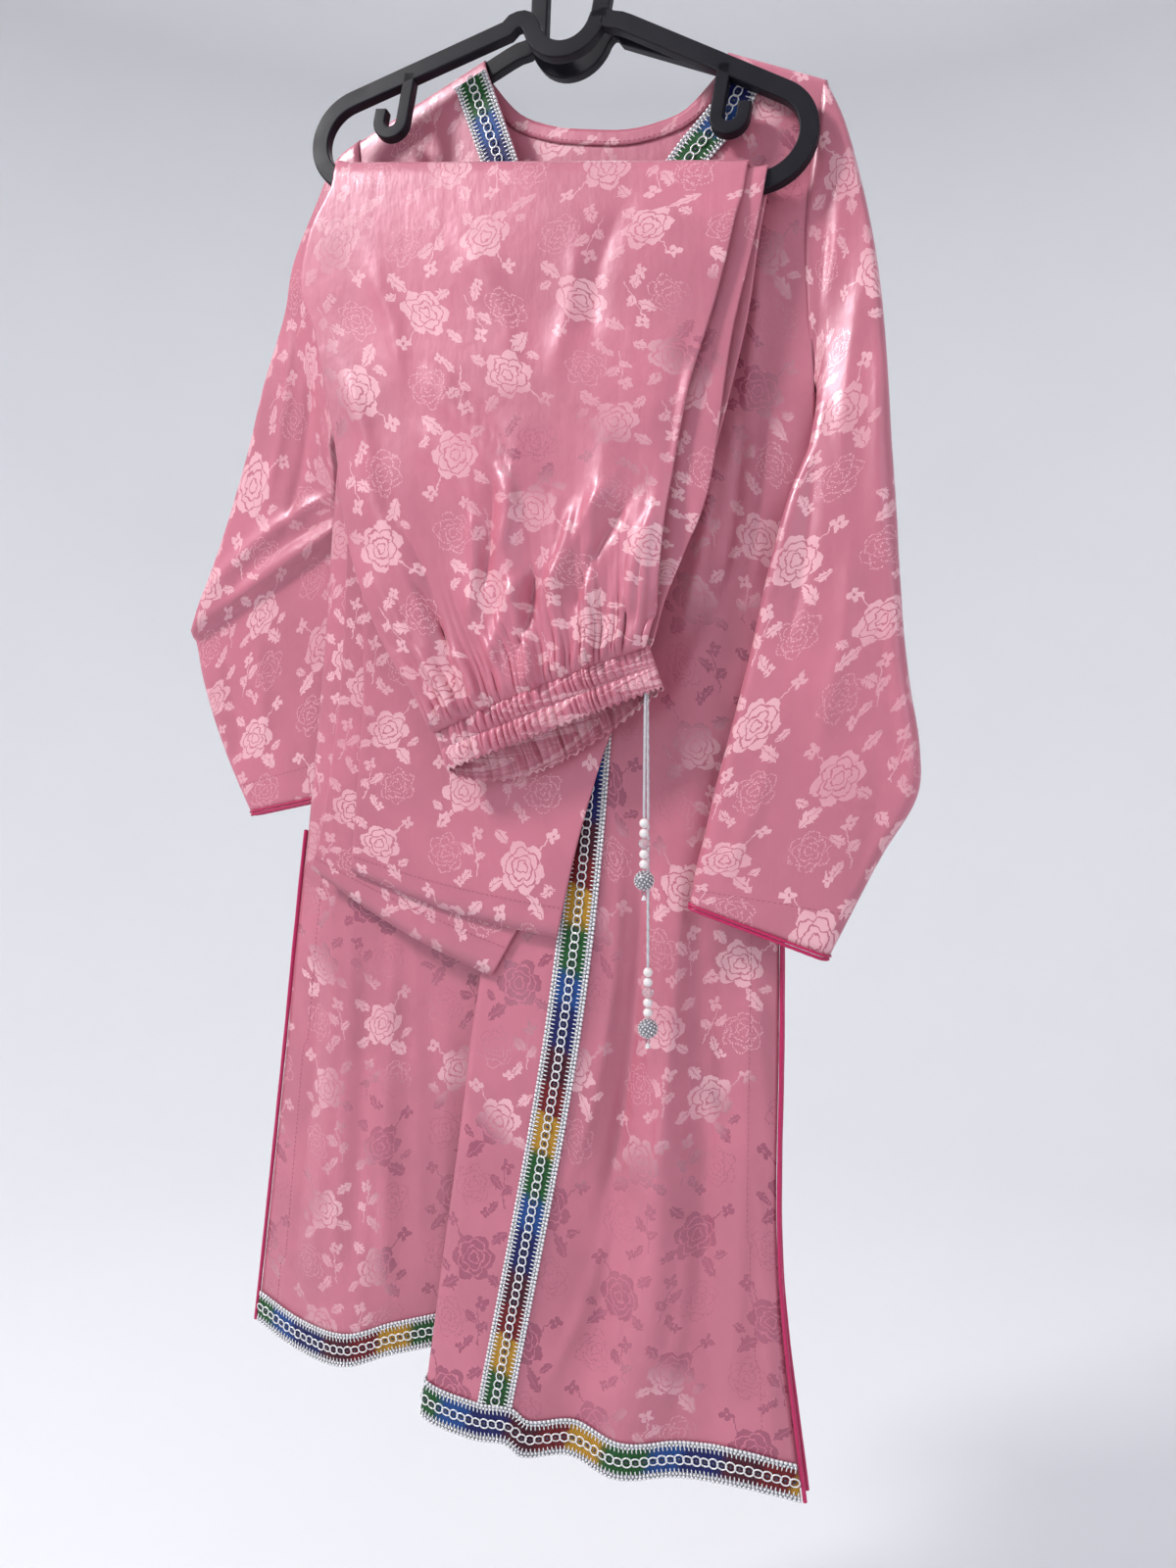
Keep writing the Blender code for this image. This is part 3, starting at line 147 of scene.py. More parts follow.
# Sleeves, one row for each section: outer edge x and z, inner edge x and z, y at the outer and
# the inner edge, half the tube's depth
RIGHT_SLEEVE = (
    (0.1710, -0.1440, 0.1640, -0.3440, 0.0000, 0.0000, 0.0072),
    (0.1820, -0.1720, 0.1650, -0.3460, -0.0005, -0.0010, 0.0070),
    (0.1950, -0.2250, 0.1650, -0.3490, -0.0020, -0.0030, 0.0068),
    (0.2040, -0.2760, 0.1650, -0.3540, -0.0050, -0.0060, 0.0068),
    (0.2085, -0.3180, 0.1650, -0.3610, -0.0080, -0.0095, 0.0070),
    (0.2110, -0.3500, 0.1640, -0.3710, -0.0110, -0.0135, 0.0070),
    (0.2130, -0.3800, 0.1610, -0.3890, -0.0145, -0.0175, 0.0070),
    (0.2155, -0.4120, 0.1510, -0.4170, -0.0180, -0.0205, 0.0072),
    (0.2180, -0.4480, 0.1410, -0.4520, -0.0210, -0.0235, 0.0075),
    (0.2205, -0.4820, 0.1320, -0.4920, -0.0235, -0.0250, 0.0075),
    (0.2230, -0.5130, 0.1215, -0.5370, -0.0255, -0.0260, 0.0080),
    (0.2270, -0.5450, 0.1110, -0.5780, -0.0265, -0.0265, 0.0085),
    (0.2330, -0.5830, 0.1020, -0.6120, -0.0270, -0.0270, 0.0085),
    (0.2315, -0.6140, 0.0960, -0.6390, -0.0275, -0.0275, 0.0085),
    (0.2090, -0.6540, 0.0900, -0.6620, -0.0275, -0.0275, 0.0080),
    (0.1776, -0.7180, 0.0850, -0.6880, -0.0275, -0.0275, 0.0070),
)
LEFT_SLEEVE = (
    (-0.1836, -0.1190, -0.2030, -0.3440, 0.0000, 0.0000, 0.0074),
    (-0.2030, -0.1300, -0.2080, -0.3480, 0.0010, 0.0010, 0.0082),
    (-0.2230, -0.1570, -0.2110, -0.3550, 0.0060, 0.0060, 0.0085),
    (-0.2500, -0.1960, -0.2130, -0.3640, 0.0140, 0.0140, 0.0080),
    (-0.2620, -0.2330, -0.2140, -0.3740, 0.0185, 0.0185, 0.0080),
    (-0.2840, -0.2850, -0.2140, -0.3850, 0.0205, 0.0205, 0.0080),
    (-0.3020, -0.3400, -0.2120, -0.3920, 0.0215, 0.0215, 0.0080),
    (-0.3240, -0.4000, -0.2110, -0.3970, 0.0215, 0.0215, 0.0085),
    (-0.3450, -0.4500, -0.2110, -0.4020, 0.0215, 0.0215, 0.0095),
    (-0.3600, -0.4850, -0.2110, -0.4080, 0.0220, 0.0220, 0.0100),
    (-0.3592, -0.4920, -0.2120, -0.4150, 0.0265, 0.0265, 0.0075),
    (-0.3540, -0.5200, -0.2130, -0.4500, 0.0275, 0.0275, 0.0075),
    (-0.3450, -0.5500, -0.2140, -0.5000, 0.0275, 0.0275, 0.0075),
    (-0.3280, -0.5920, -0.2145, -0.5600, 0.0275, 0.0275, 0.0075),
    (-0.3060, -0.6360, -0.2150, -0.6180, 0.0275, 0.0275, 0.0070),
)
ARMHOLE_SHARE = (1.0, 0.45, 0.12)
ARMHOLE_EASE = -0.0012

# Trousers, one row for each section: left x and z, right x and z, left y, right y
OUTER_FRONT = (
    (-0.0935, -0.5712, 0.0590, -0.5160, -0.0532, -0.0482),
    (-0.0950, -0.5681, 0.0608, -0.5129, -0.0560, -0.0508),
    (-0.1070, -0.5450, 0.0650, -0.4930, -0.0560, -0.0480),
    (-0.1240, -0.5200, 0.0670, -0.4720, -0.0560, -0.0470),
    (-0.1430, -0.4850, 0.0700, -0.4400, -0.0555, -0.0460),
    (-0.1610, -0.4330, 0.0770, -0.3920, -0.0545, -0.0440),
    (-0.1720, -0.3640, 0.0860, -0.3450, -0.0530, -0.0420),
    (-0.1830, -0.3140, 0.0945, -0.3180, -0.0515, -0.0400),
    (-0.1920, -0.2750, 0.1030, -0.2900, -0.0500, -0.0380),
    (-0.2020, -0.2480, 0.1105, -0.2620, -0.0505, -0.0380),
    (-0.1940, -0.2060, 0.1160, -0.2380, -0.0500, -0.0375),
)
OUTER_BACK = (
    (-0.1790, -0.2200, 0.1160, -0.2450, -0.0272, -0.0160),
    (-0.1800, -0.3000, 0.1050, -0.3100, -0.0262, -0.0175),
    (-0.1800, -0.4200, 0.0750, -0.4300, -0.0250, -0.0195),
    (-0.1870, -0.5350, 0.0300, -0.5600, -0.0240, -0.0200),
    (-0.1980, -0.6090, -0.0050, -0.6400, -0.0235, -0.0212),
    (-0.2070, -0.6510, -0.0350, -0.6950, -0.0232, -0.0225),
    (-0.2150, -0.6750, -0.0650, -0.7470, -0.0230, -0.0228),
)
INNER_FRONT = (
    (-0.0915, -0.5706, 0.0585, -0.5164, -0.0428, -0.0382),
    (-0.0930, -0.5676, 0.0600, -0.5134, -0.0400, -0.0355),
    (-0.1150, -0.5200, 0.0680, -0.4850, -0.0400, -0.0350),
    (-0.1450, -0.4500, 0.0810, -0.4540, -0.0430, -0.0350),
    (-0.1630, -0.3600, 0.0980, -0.4100, -0.0440, -0.0340),
    (-0.1730, -0.2900, 0.1120, -0.3150, -0.0430, -0.0320),
    (-0.1760, -0.2300, 0.1260, -0.2540, -0.0420, -0.0300),
)
INNER_BACK = (
    (-0.1690, -0.2200, 0.1280, -0.2450, -0.0304, -0.0190),
    (-0.1680, -0.3000, 0.1180, -0.3100, -0.0296, -0.0208),
    (-0.1660, -0.4200, 0.0850, -0.4300, -0.0284, -0.0228),
    (-0.1650, -0.5360, 0.0450, -0.5200, -0.0274, -0.0243),
    (-0.1690, -0.5900, 0.0200, -0.5900, -0.0270, -0.0250),
    (-0.1740, -0.6400, 0.0010, -0.6540, -0.0266, -0.0256),
    (-0.1770, -0.6750, -0.0130, -0.7160, -0.0264, -0.0259),
)
OUTER_BAR_SPAN = (-0.158, 0.1436)
INNER_BAR_SPAN = (-0.151, 0.1560)
BAR_WRAP = ((1.0, -0.85), (1.0, 0.05), (0.91, 0.68), (0.63, 0.93), (0.0, 1.0), (-0.63, 0.93),
            (-0.91, 0.68), (-1.0, 0.05), (-1.0, -0.85))
HEM_SAG = 0.006
LEG_ROW_STEP = 0.010
BAND_ROW_STEP = 0.0036

# Waistband
BAND_LEFT = (-0.0910, -0.0480, -0.5840)
BAND_RIGHT = (0.0655, -0.0430, -0.5285)
BAND_HEIGHT = 0.031
BAND_HALF_DEPTH = 0.0085
BAND_REAR_DROP = 0.022
FRONT_GATHERS = 34
REAR_GATHERS = 26

# Tassels: each cord's top, ends, and the beads on it
CORD_RADIUS = 0.0011
CORD_TOP = (0.0590, -0.0432, -0.5440)
CORD_ENDS = dict(short=-0.6290, long=-0.7300)
CORD_SPACE = 0.0024
TASSEL_SPACE = 0.0045
PEARL = 0.0034
CRYSTAL = 0.0042
CRYSTAL_HIGH = 0.0070
BALL = 0.0074
CAP = 0.0022


# Making pieces

def clear_choice():
    if bpy.context.mode != "OBJECT":
        bpy.ops.object.mode_set(mode="OBJECT")
    bpy.ops.object.select_all(action="DESELECT")


def take(thing):
    """Make one object the only one chosen."""
    clear_choice()
    thing.select_set(True)
    bpy.context.view_layer.objects.active = thing
    return thing


def open_all(thing):
    """Edit mode on one object, with all of its mesh chosen."""
    take(thing)
    bpy.ops.object.mode_set(mode="EDIT")
    bpy.ops.mesh.select_all(action="SELECT")


def added(name):
    """The object that an add operator has just made, named."""
    thing = bpy.context.object
    thing.name = name
    thing.data.name = name
    return thing


def settle(thing):
    """Put an object's place into its mesh, so that it sits at the origin, unturned."""
    take(thing)
    bpy.ops.object.transform_apply(location=True, rotation=True, scale=True)
    return thing


def finish_with(thing, finish, body="root"):
    thing.data.materials.clear()
    thing.data.materials.append(finish)
    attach(thing, body)
    return thing


def apply_all(thing):
    take(thing)
    for step in list(thing.modifiers):
        bpy.ops.object.modifier_apply(modifier=step.name)
    return thing


def lengths_along(grid, axis):
    """Running length along the rows (1) or down the columns (0) of a grid of points."""
    steps = np.linalg.norm(np.diff(grid, axis=axis), axis=2)
    zero = np.zeros_like(np.take(steps, [0], axis=axis))
    return np.cumsum(np.concatenate((zero, steps), axis=axis), axis=axis)


def cloth_sheet(name, grid, thickness, middle=0, closed=False, facing=-1, flat_grid=None,
                turn_at=None):
    """A grid of points, top row first, as a thin cloth wall. Its UV map is the flat cloth in metres:
    u runs across from the middle column, v runs up. facing is -1 where rows run left to right as
    seen from outside, and 1 where they run the other way. flat_grid gives the map's lengths instead
    of the grid, where gathers would crowd it. turn_at is the column at a tube's far edge, where
    the map starts again, so that both of its layers are measured from the near edge."""
    clear_choice()
    rows, columns = grid.shape[:2]
    bpy.ops.mesh.primitive_grid_add(x_subdivisions=columns - 1, y_subdivisions=rows - 1, size=2,
                                    calc_uvs=True)
    thing = added(name)
    mesh = thing.data
    flat = np.empty(len(mesh.vertices) * 3)
    mesh.vertices.foreach_get("co", flat)
    flat = flat.reshape(-1, 3)
    column = np.rint((flat[:, 0] + 1) / 2 * (columns - 1)).astype(int)
    row = (rows - 1) - np.rint((flat[:, 1] + 1) / 2 * (rows - 1)).astype(int)
    mesh.vertices.foreach_set("co", grid[row, column].ravel())
    measured = grid if flat_grid is None else flat_grid
    across = lengths_along(measured, 1)
    across = across - across[:, middle:middle + 1]
    down = lengths_along(measured, 0).mean(axis=1, keepdims=True) * np.ones((1, columns))
    corner = np.empty(len(mesh.loops), dtype=int)
    mesh.loops.foreach_get("vertex_index", corner)
    layer = mesh.uv_layers[0]
    layer.name = "cloth"
    place = np.stack((across[row, column], -down[row, column]), axis=1)[corner]
    if turn_at is not None:
        whole = lengths_along(measured, 1)[:, -1]
        far_layer = np.repeat(column[corner].reshape(-1, 4).min(axis=1) >= turn_at, 4)
        place[:, 0] -= np.where(far_layer, whole[row[corner]], 0.0)
    layer.data.foreach_set("uv", place.ravel())
    take(thing)
    if closed or facing > 0:
        open_all(thing)
        if closed:
            bpy.ops.mesh.remove_doubles(threshold=0.00001)
        if facing > 0:
            bpy.ops.mesh.flip_normals()
        bpy.ops.object.mode_set(mode="OBJECT")
    bpy.ops.object.shade_smooth()
    if thickness:
        wall = thing.modifiers.new("wall", "SOLIDIFY")
        wall.thickness = thickness
        wall.offset = 0.0
        apply_all(thing)
    return thing


def prototype(operator, **settings):
    """Points and faces of one small shape, for copying many times."""
    clear_choice()
    flat = settings.pop("scale_to", (1, 1, 1))
    operator(**settings)
    thing = bpy.context.object
    points = np.array([v.co[:] for v in thing.data.vertices]) * np.array(flat)
    faces = [tuple(p.vertices) for p in thing.data.polygons]
    bpy.data.objects.remove(thing, do_unlink=True)
    return points, faces


def array_of(name, shape, frames, finish, smooth=True):
    """One mesh of many copies of a small shape, each in its own frame (origin and three axes)."""
    points, faces = shape
    origin, first, second, third = frames
    placed = (origin[:, None, :] + points[None, :, 0:1] * first[:, None, :]
              + points[None, :, 1:2] * second[:, None, :] + points[None, :, 2:3] * third[:, None, :])
    count = len(points)
    every = [tuple(i + count * k for i in face) for k in range(len(origin)) for face in faces]
    mesh = bpy.data.meshes.new(name)
    mesh.from_pydata(placed.reshape(-1, 3).tolist(), [], every)
    if smooth:
        mesh.shade_smooth()
    thing = bpy.data.objects.new(name, mesh)
    bpy.context.scene.collection.objects.link(thing)
    return finish_with(thing, finish)


def normalised(vectors):
    return vectors / np.maximum(np.linalg.norm(vectors, axis=-1, keepdims=True), 1e-12)


def frames_along(line, normals, pitch, start=0.5):
    """Even places along a line of points: origin, way along, way across and the normal."""
    line = np.asarray(line)
    normals = np.asarray(normals)
    run = np.concatenate(([0.0], np.cumsum(np.linalg.norm(np.diff(line, axis=0), axis=1))))
    count = max(int(run[-1] / pitch), 1)
    at = (np.arange(count) + start) * run[-1] / count
    origin = np.stack([np.interp(at, run, line[:, k]) for k in range(3)], axis=1)
    normal = np.stack([np.interp(at, run, normals[:, k]) for k in range(3)], axis=1)
    ahead = np.stack([np.interp(np.minimum(at + pitch / 2, run[-1]), run, line[:, k])
                      - np.interp(np.maximum(at - pitch / 2, 0), run, line[:, k])
                      for k in range(3)], axis=1)
    ahead = normalised(ahead)
    normal = normalised(normal - ahead * (normal * ahead).sum(axis=1, keepdims=True))
    return origin, ahead, np.cross(normal, ahead), normal


def joined_frames(*sets):
    return tuple(np.concatenate([s[k] for s in sets]) for k in range(4))


def moved_frames(frames, across=0.0, lift=0.0, along=0.0):
    origin, first, second, third = frames
    return origin + second * across + third * lift + first * along, first, second, third


def tube(name, line, radius, sides, closed=False, strands=0, twist=0.0, depth=0.0):
    """A round cord along a line, with twisted strands where given."""
    line = np.asarray(line, dtype=float)
    if closed:
        ahead = np.roll(line, -1, axis=0) - np.roll(line, 1, axis=0)
    else:
        ahead = np.gradient(line, axis=0)
    ahead = normalised(ahead)
    side = normalised(np.cross(ahead, np.array((0.13, 1.0, 0.21))))
    up = np.cross(side, ahead)
    run = np.concatenate(([0.0], np.cumsum(np.linalg.norm(np.diff(line, axis=0), axis=1))))
    turn = np.linspace(0, 2 * math.pi, sides + 1)
    rings = []
    for i, centre in enumerate(line):
        reach = radius
        if strands:
            wave = np.abs(np.cos(strands / 2 * (turn + twist * run[i])))
            reach = radius * (1 - depth + depth * wave)
        rings.append(centre + (side[i] * np.cos(turn)[:, None] + up[i] * np.sin(turn)[:, None])
                     * np.broadcast_to(reach, turn.shape)[:, None])
    if closed:
        rings.append(rings[0])
    grid = np.array(rings)
    return cloth_sheet(name, grid, 0.0, closed=True, facing=1)


# Finishes

class Signal:
    """A number or colour on its way through a material, so that maths on it reads as plain sums."""

    def __init__(self, finish, socket):
        self.finish = finish
        self.socket = socket

    def __add__(self, other):
        return self.finish.maths("ADD", self, other)

    def __sub__(self, other):
        return self.finish.maths("SUBTRACT", self, other)

    def __rsub__(self, other):
        return self.finish.maths("SUBTRACT", other, self)

    def __mul__(self, other):
        return self.finish.maths("MULTIPLY", self, other)

    def __truediv__(self, other):
        return self.finish.maths("DIVIDE", self, other)

    def __mod__(self, other):
        return self.finish.maths("FLOORED_MODULO", self, other)

    def __lt__(self, other):
        return self.finish.maths("LESS_THAN", self, other)

    def __gt__(self, other):
        return self.finish.maths("GREATER_THAN", self, other)

    def __abs__(self):
        return self.finish.maths("ABSOLUTE", self)

    __radd__ = __add__
    __rmul__ = __mul__


class Finish:
    """A material on a Principled shader, with one way to add any other node."""

    def __init__(self, name, **sockets):
        self.material = bpy.data.materials.new(name)
        self.material.use_nodes = True
        self.tree = self.material.node_tree
        self.shader = self.tree.nodes["Principled BSDF"]
        for label, value in sockets.items():
            self.shader.inputs[label.replace("_", " ")].default_value = value

    def node(self, kind, settings=None, inputs=None, output=0):
        made = self.tree.nodes.new(kind)
        for key, value in (settings or {}).items():
            setattr(made, key, value)
        for key, value in (inputs or {}).items():
            if isinstance(value, Signal):
                self.tree.links.new(value.socket, made.inputs[key])
            else:
                made.inputs[key].default_value = value
        return Signal(self, made.outputs[output])

    def maths(self, operation, *values):
        return self.node("ShaderNodeMath", {"operation": operation}, dict(enumerate(values)))

    def mix(self, share, low, high, blend="MIX"):
        settings = {"data_type": "RGBA", "blend_type": blend}
        inputs = {0: share, 6: low, 7: high}
        return self.node("ShaderNodeMix", settings, inputs, 2)

    def both(self, first, *others):
        for other in others:
            first = first * other
        return first

    def either(self, first, *others):
        for other in others:
            first = self.maths("MAXIMUM", first, other)
        return first

    def smooth(self, value, low, high, to_low=0.0, to_high=1.0):
        """Eased from one value to another between two limits."""
        return self.node("ShaderNodeMapRange", {"interpolation_type": "SMOOTHSTEP"},
                         {0: value, 1: low, 2: high, 3: to_low, 4: to_high})

    def flat_cloth(self):
        """Across and up on the flat cloth, in metres."""
        place = self.node("ShaderNodeUVMap", {"uv_map": "cloth"})
        parts = self.tree.nodes.new("ShaderNodeSeparateXYZ")
        self.tree.links.new(place.socket, parts.inputs[0])
        return Signal(self, parts.outputs[0]), Signal(self, parts.outputs[1])

    def in_place(self):
        made = self.tree.nodes.new("ShaderNodeTexCoord")
        return Signal(self, made.outputs["Object"])

    def height(self):
        parts = self.tree.nodes.new("ShaderNodeSeparateXYZ")
        self.tree.links.new(self.in_place().socket, parts.inputs[0])
        return Signal(self, parts.outputs[2])

    def noise(self, scale, detail=2.0, rough=0.5, where=None):
        return self.node("ShaderNodeTexNoise", {"noise_dimensions": "3D"},
                         {"Vector": where or self.in_place(), "Scale": scale, "Detail": detail,
                          "Roughness": rough})

    def bump(self, height, distance, strength=1.0):
        normal = self.node("ShaderNodeBump", None,
                           {"Height": height, "Distance": distance, "Strength": strength})
        self.tree.links.new(normal.socket, self.shader.inputs["Normal"])

    def into(self, label, signal):
        self.tree.links.new(signal.socket, self.shader.inputs[label])


class Motif:
    """Woven shapes on flat cloth, as masks of 0 and 1, sized in millimetres."""

    def __init__(self, finish, u, v):
        self.finish = finish
        self.u = u
        self.v = v

    def polar(self, centre, size):
        x = self.u - centre[0]
        y = self.v - centre[1]
        far = self.finish.maths("SQRT", x * x + y * y) / size
        return far, self.finish.maths("ARCTAN2", y, x)

    def lobes(self, angle, count, phase):
        return abs(self.finish.maths("COSINE", angle * (count / 2) + phase))

    def rose(self, centre, size, turn, line):
        """Petal faces, and the lines between the petals."""
        far, angle = self.polar(centre, size)
        edges = []
        lobes = []
        for reach, count, phase, depth in ((1.0, 6, turn, 0.24), (0.74, 5, turn + 1.3, 0.20),
                                           (0.48, 4, turn + 0.4, 0.24), (0.24, 3, turn, 0.30)):
            lobe = self.lobes(angle, count, phase)
            lobes.append(lobe)
            edges.append(far - (lobe * (depth * reach) + reach * (1 - depth)))
        lines = self.finish.either(*[abs(edge) < line / size for edge in edges[1:]])
        for outer, inner, lobe in ((0, 1, lobes[0]), (1, 2, lobes[1])):
            seam = self.finish.both(lobe * far < line * 1.1 / size, edges[outer] < 0, edges[inner] > 0)
            lines = self.finish.either(lines, seam)
        inside = edges[0] < 0
        rim = abs(edges[0]) < line / size
        return inside, self.finish.both(lines, inside), rim

    def along(self, start, angle, length, bend):
        x = self.u - start[0]
        y = self.v - start[1]
        cosine = math.cos(math.radians(angle))
        sine = math.sin(math.radians(angle))
        p = (x * cosine + y * sine) / length
        q = y * cosine - x * sine - p * p * bend
        return p, q

    def leaf(self, start, angle, length, width, bend=1.0):
        p, q = self.along(start, angle, length, bend)
        away = abs(q)
        teeth = self.finish.maths("FRACT", p * 4.0) * -0.62 + 1.42
        return self.finish.both(away < p * (1 - p) * teeth * (2.9 * width), away > 0.25)

    def stem(self, start, angle, length, bend, width=0.45):
        p, q = self.along(start, angle, length, bend)
        return self.finish.both(abs(q) < width, abs(p - 0.5) < 0.5)

    def blossom(self, centre, size, turn):
        far, angle = self.polar(centre, size)
        lobe = self.lobes(angle, 4, turn)
        return self.finish.both(far < lobe * 0.62 + 0.38, far > 0.16)


CELL_WIDE = 58.0
CELL_HIGH = 98.0


def satin(name, ground, light, dark, painted_sheen_shift=0.0, roughness=0.33):
    """Jacquard satin: roses, outlined roses, leaves and blossoms on a half-drop repeat. The figure
    holds painted sheen: lighter than the ground on most folds, darker low on the skirt, and lighter still on
    the parts whose material raises it."""
    finish = Finish(name, Roughness=roughness, Sheen_Weight=0.18, Sheen_Roughness=0.35)
    finish.shader.inputs["Sheen Tint"].default_value = (1.0, 0.72, 0.80, 1.0)
    finish.shader.inputs["Specular IOR Level"].default_value = 0.85
    finish.shader.inputs["Specular Tint"].default_value = (1.0, 0.86, 0.97, 1.0)
    u, v = finish.flat_cloth()
    column = finish.maths("FLOOR", u * (1000 / CELL_WIDE))
    turned = 1 - (column % 2.0) * 2
    cell_u = (finish.maths("FRACT", u * (1000 / CELL_WIDE)) - 0.5) * CELL_WIDE * turned
    cell_v = (finish.maths("FRACT", v * (1000 / CELL_HIGH) + column * 0.5) - 0.5) * CELL_HIGH
    flat = finish.node("ShaderNodeUVMap", {"uv_map": "cloth"})
    cell_u = cell_u + (finish.noise(105.0, 1.0, 0.5, flat) - 0.5) * 5.0
    cell_v = cell_v + (finish.noise(88.0, 1.0, 0.5, flat) - 0.5) * 5.0
    cell_u = cell_u + (finish.noise(330.0, 1.0, 0.5, flat) - 0.5) * 3.6
    cell_v = cell_v + (finish.noise(290.0, 1.0, 0.5, flat) - 0.5) * 3.6
    motif = Motif(finish, cell_u, cell_v)
    petals, lines, _ = motif.rose((-4.0, 21.0), 17.5, 0.5, 0.55)
    full = finish.both(petals, 1 - lines)
    _, dotted_lines, dotted_rim = motif.rose((7.0, -26.0), 14.5, 1.4, 0.62)
    dots = finish.node("ShaderNodeTexVoronoi", {"feature": "F1", "voronoi_dimensions": "2D"},
                       {"Vector": finish.node("ShaderNodeUVMap", {"uv_map": "cloth"}),
                        "Scale": 900.0}) < 0.42
    dotted = finish.both(finish.either(dotted_lines, dotted_rim), dots)
    leaves = finish.either(
        motif.leaf((-16.0, 34.0), 132, 15.0, 4.6), motif.leaf((3.0, 5.0), -38, 19.0, 5.4, -2.0),
        motif.leaf((-17.0, 12.0), 205, 13.0, 4.4), motif.leaf((-16.0, -24.0), 28, 13.0, 4.4, 2.0),
        motif.leaf((-17.0, -29.0), 128, 11.0, 3.8), motif.leaf((-15.0, -33.0), -62, 12.0, 3.8),
        motif.leaf((12.0, 6.0), 28, 12.0, 3.6))
    sprigs = finish.either(
        motif.stem((8.0, 33.0), 48, 13.0, 2.0), motif.stem((-20.0, -38.0), 84, 26.0, -3.0, 0.4),
        motif.blossom((18.0, 42.5), 5.6, 0.3), motif.blossom((-17.0, -9.0), 5.6, 0.9),
        motif.blossom((-6.0, -44.0), 4.2, 0.2))
    figure = finish.either(full, leaves, sprigs, dotted * 0.75)
    # Painted sheen on the figure: broad noise, a darkening low on the skirt and each material's shift set
    # how light or dark the figure's colour is
    broad = finish.noise(6.5, 1.0)
    drop = finish.smooth(finish.height(), -0.72, -1.05)
    painted_figure_sheen = finish.smooth(broad - drop * 0.16 + painted_sheen_shift, 0.40, 0.56)
    shade = finish.noise(14.0, 3.0)
    base = finish.mix(finish.smooth(shade, 0.35, 0.65), (*[c * 0.93 for c in ground], 1),
                      (*[min(c * 1.06, 1) for c in ground], 1))
    figure_colour = finish.mix(painted_figure_sheen, (*dark, 1), (*light, 1))
    # Painted sheen patches: noise sets how much of the figure's colour shows through
    share = figure * finish.smooth(finish.noise(11.0, 3.0), 0.32, 0.60, 0.55, 1.0)
    finish.into("Base Color", finish.mix(share, base, figure_colour))
    finish.into("Roughness", roughness + 0.06 - figure * 0.12)
    grain = finish.noise(1900.0, 1.0)
    upright = finish.node("ShaderNodeMapping", None,
                          {"Vector": finish.in_place(), "Rotation": (0.0, 0.12, 0.0),
                           "Scale": (1.0, 1.0, 0.36)})
    wrinkle = finish.noise(34.0, 4.0, 0.62, upright) + finish.noise(70.0, 2.0) * 0.35
    finish.bump(grain * 0.02 + wrinkle, 0.0017, 0.6)
    return finish.material


BANDS = (("gold", 0.00, (0.56, 0.29, 0.02)), ("green", 0.15, (0.008, 0.10, 0.018)),
         ("light_blue", 0.36, (0.012, 0.075, 0.31)), ("dark_blue", 0.50, (0.005, 0.010, 0.12)),
         ("maroon", 0.69, (0.075, 0.003, 0.016)), ("red", 0.85, (0.19, 0.006, 0.010)))
PLEAT_AT = 0.215


def braid_ground(name, repeat, shift, step=0.0):
    """Cross threads in bands of colour, with white teeth next to both silver borders."""
    finish = Finish(name, Roughness=0.5, Sheen_Weight=0.03)
    finish.shader.inputs["Specular IOR Level"].default_value = 0.3
    u, v = finish.flat_cloth()
    run = finish.maths("FRACT", u * (1 / repeat) + shift + (u > PLEAT_AT) * step)
    wander = finish.noise(260.0, 1.0) * 0.05 - 0.025
    ramp = finish.tree.nodes.new("ShaderNodeValToRGB")
    ramp.color_ramp.interpolation = "EASE"
    stops = ramp.color_ramp.elements
    stops[0].position = 0.0
    stops[0].color = (*BANDS[0][2], 1)
    stops[1].position = 1.0
    stops[1].color = (*BANDS[0][2], 1)
    for number, (_, start, colour) in enumerate(BANDS):
        end = BANDS[number + 1][1] if number + 1 < len(BANDS) else 1.0
        for place in (start + 0.03, end - 0.03):
            stop = stops.new(min(max(place, 0.001), 0.999))
            stop.color = (*colour, 1)
    finish.tree.links.new((run + wander).socket, ramp.inputs[0])
    bands = Signal(finish, ramp.outputs[0])
    threads = finish.smooth(finish.maths("SINE", u * (2 * math.pi / 0.0013)), -0.6, 0.6)
    shaded = finish.mix(threads * 0.75, bands, finish.mix(1.0, bands, (0.35, 0.35, 0.38, 1), "MULTIPLY"))
    away = abs(v + TRIM_WIDTH / 2)
    lace = finish.smooth(finish.maths("SINE", u * (2 * math.pi / 0.0026)), -0.4, 0.8, 0.25, 0.8)
    silver = away > 0.0094
    finish.into("Base Color", finish.mix(silver, shaded, finish.mix(lace, (0.035, 0.035, 0.055, 1),
                                                                  (0.55, 0.56, 0.63, 1))))
    finish.bump(threads * 0.4 + silver, 0.0003, 0.8)
    return finish.material


def thread(name, colour, roughness, metallic=0.0, grain=700.0, depth=0.0002):
    finish = Finish(name, Roughness=roughness, Metallic=metallic, Sheen_Weight=0.1)
    speck = finish.noise(grain, 2.0)
    finish.into("Base Color", finish.mix(speck, (*[c * 0.72 for c in colour], 1),
                                         (*[min(c * 1.2, 1) for c in colour], 1)))
    finish.bump(speck, depth, 0.7)
    return finish.material


def moulded_plastic(name, colour):
    finish = Finish(name, Roughness=0.46)
    fine = finish.noise(1400.0, 2.0)
    broad = finish.noise(35.0, 3.0)
    finish.into("Base Color", finish.mix(broad, (*colour, 1), (*[c * 1.5 + 0.002 for c in colour], 1)))
    finish.shader.inputs["Specular IOR Level"].default_value = 0.16
    finish.into("Roughness", finish.smooth(broad, 0.3, 0.7, 0.40, 0.52))
    finish.bump(fine, 0.00008, 0.6)
    return finish.material


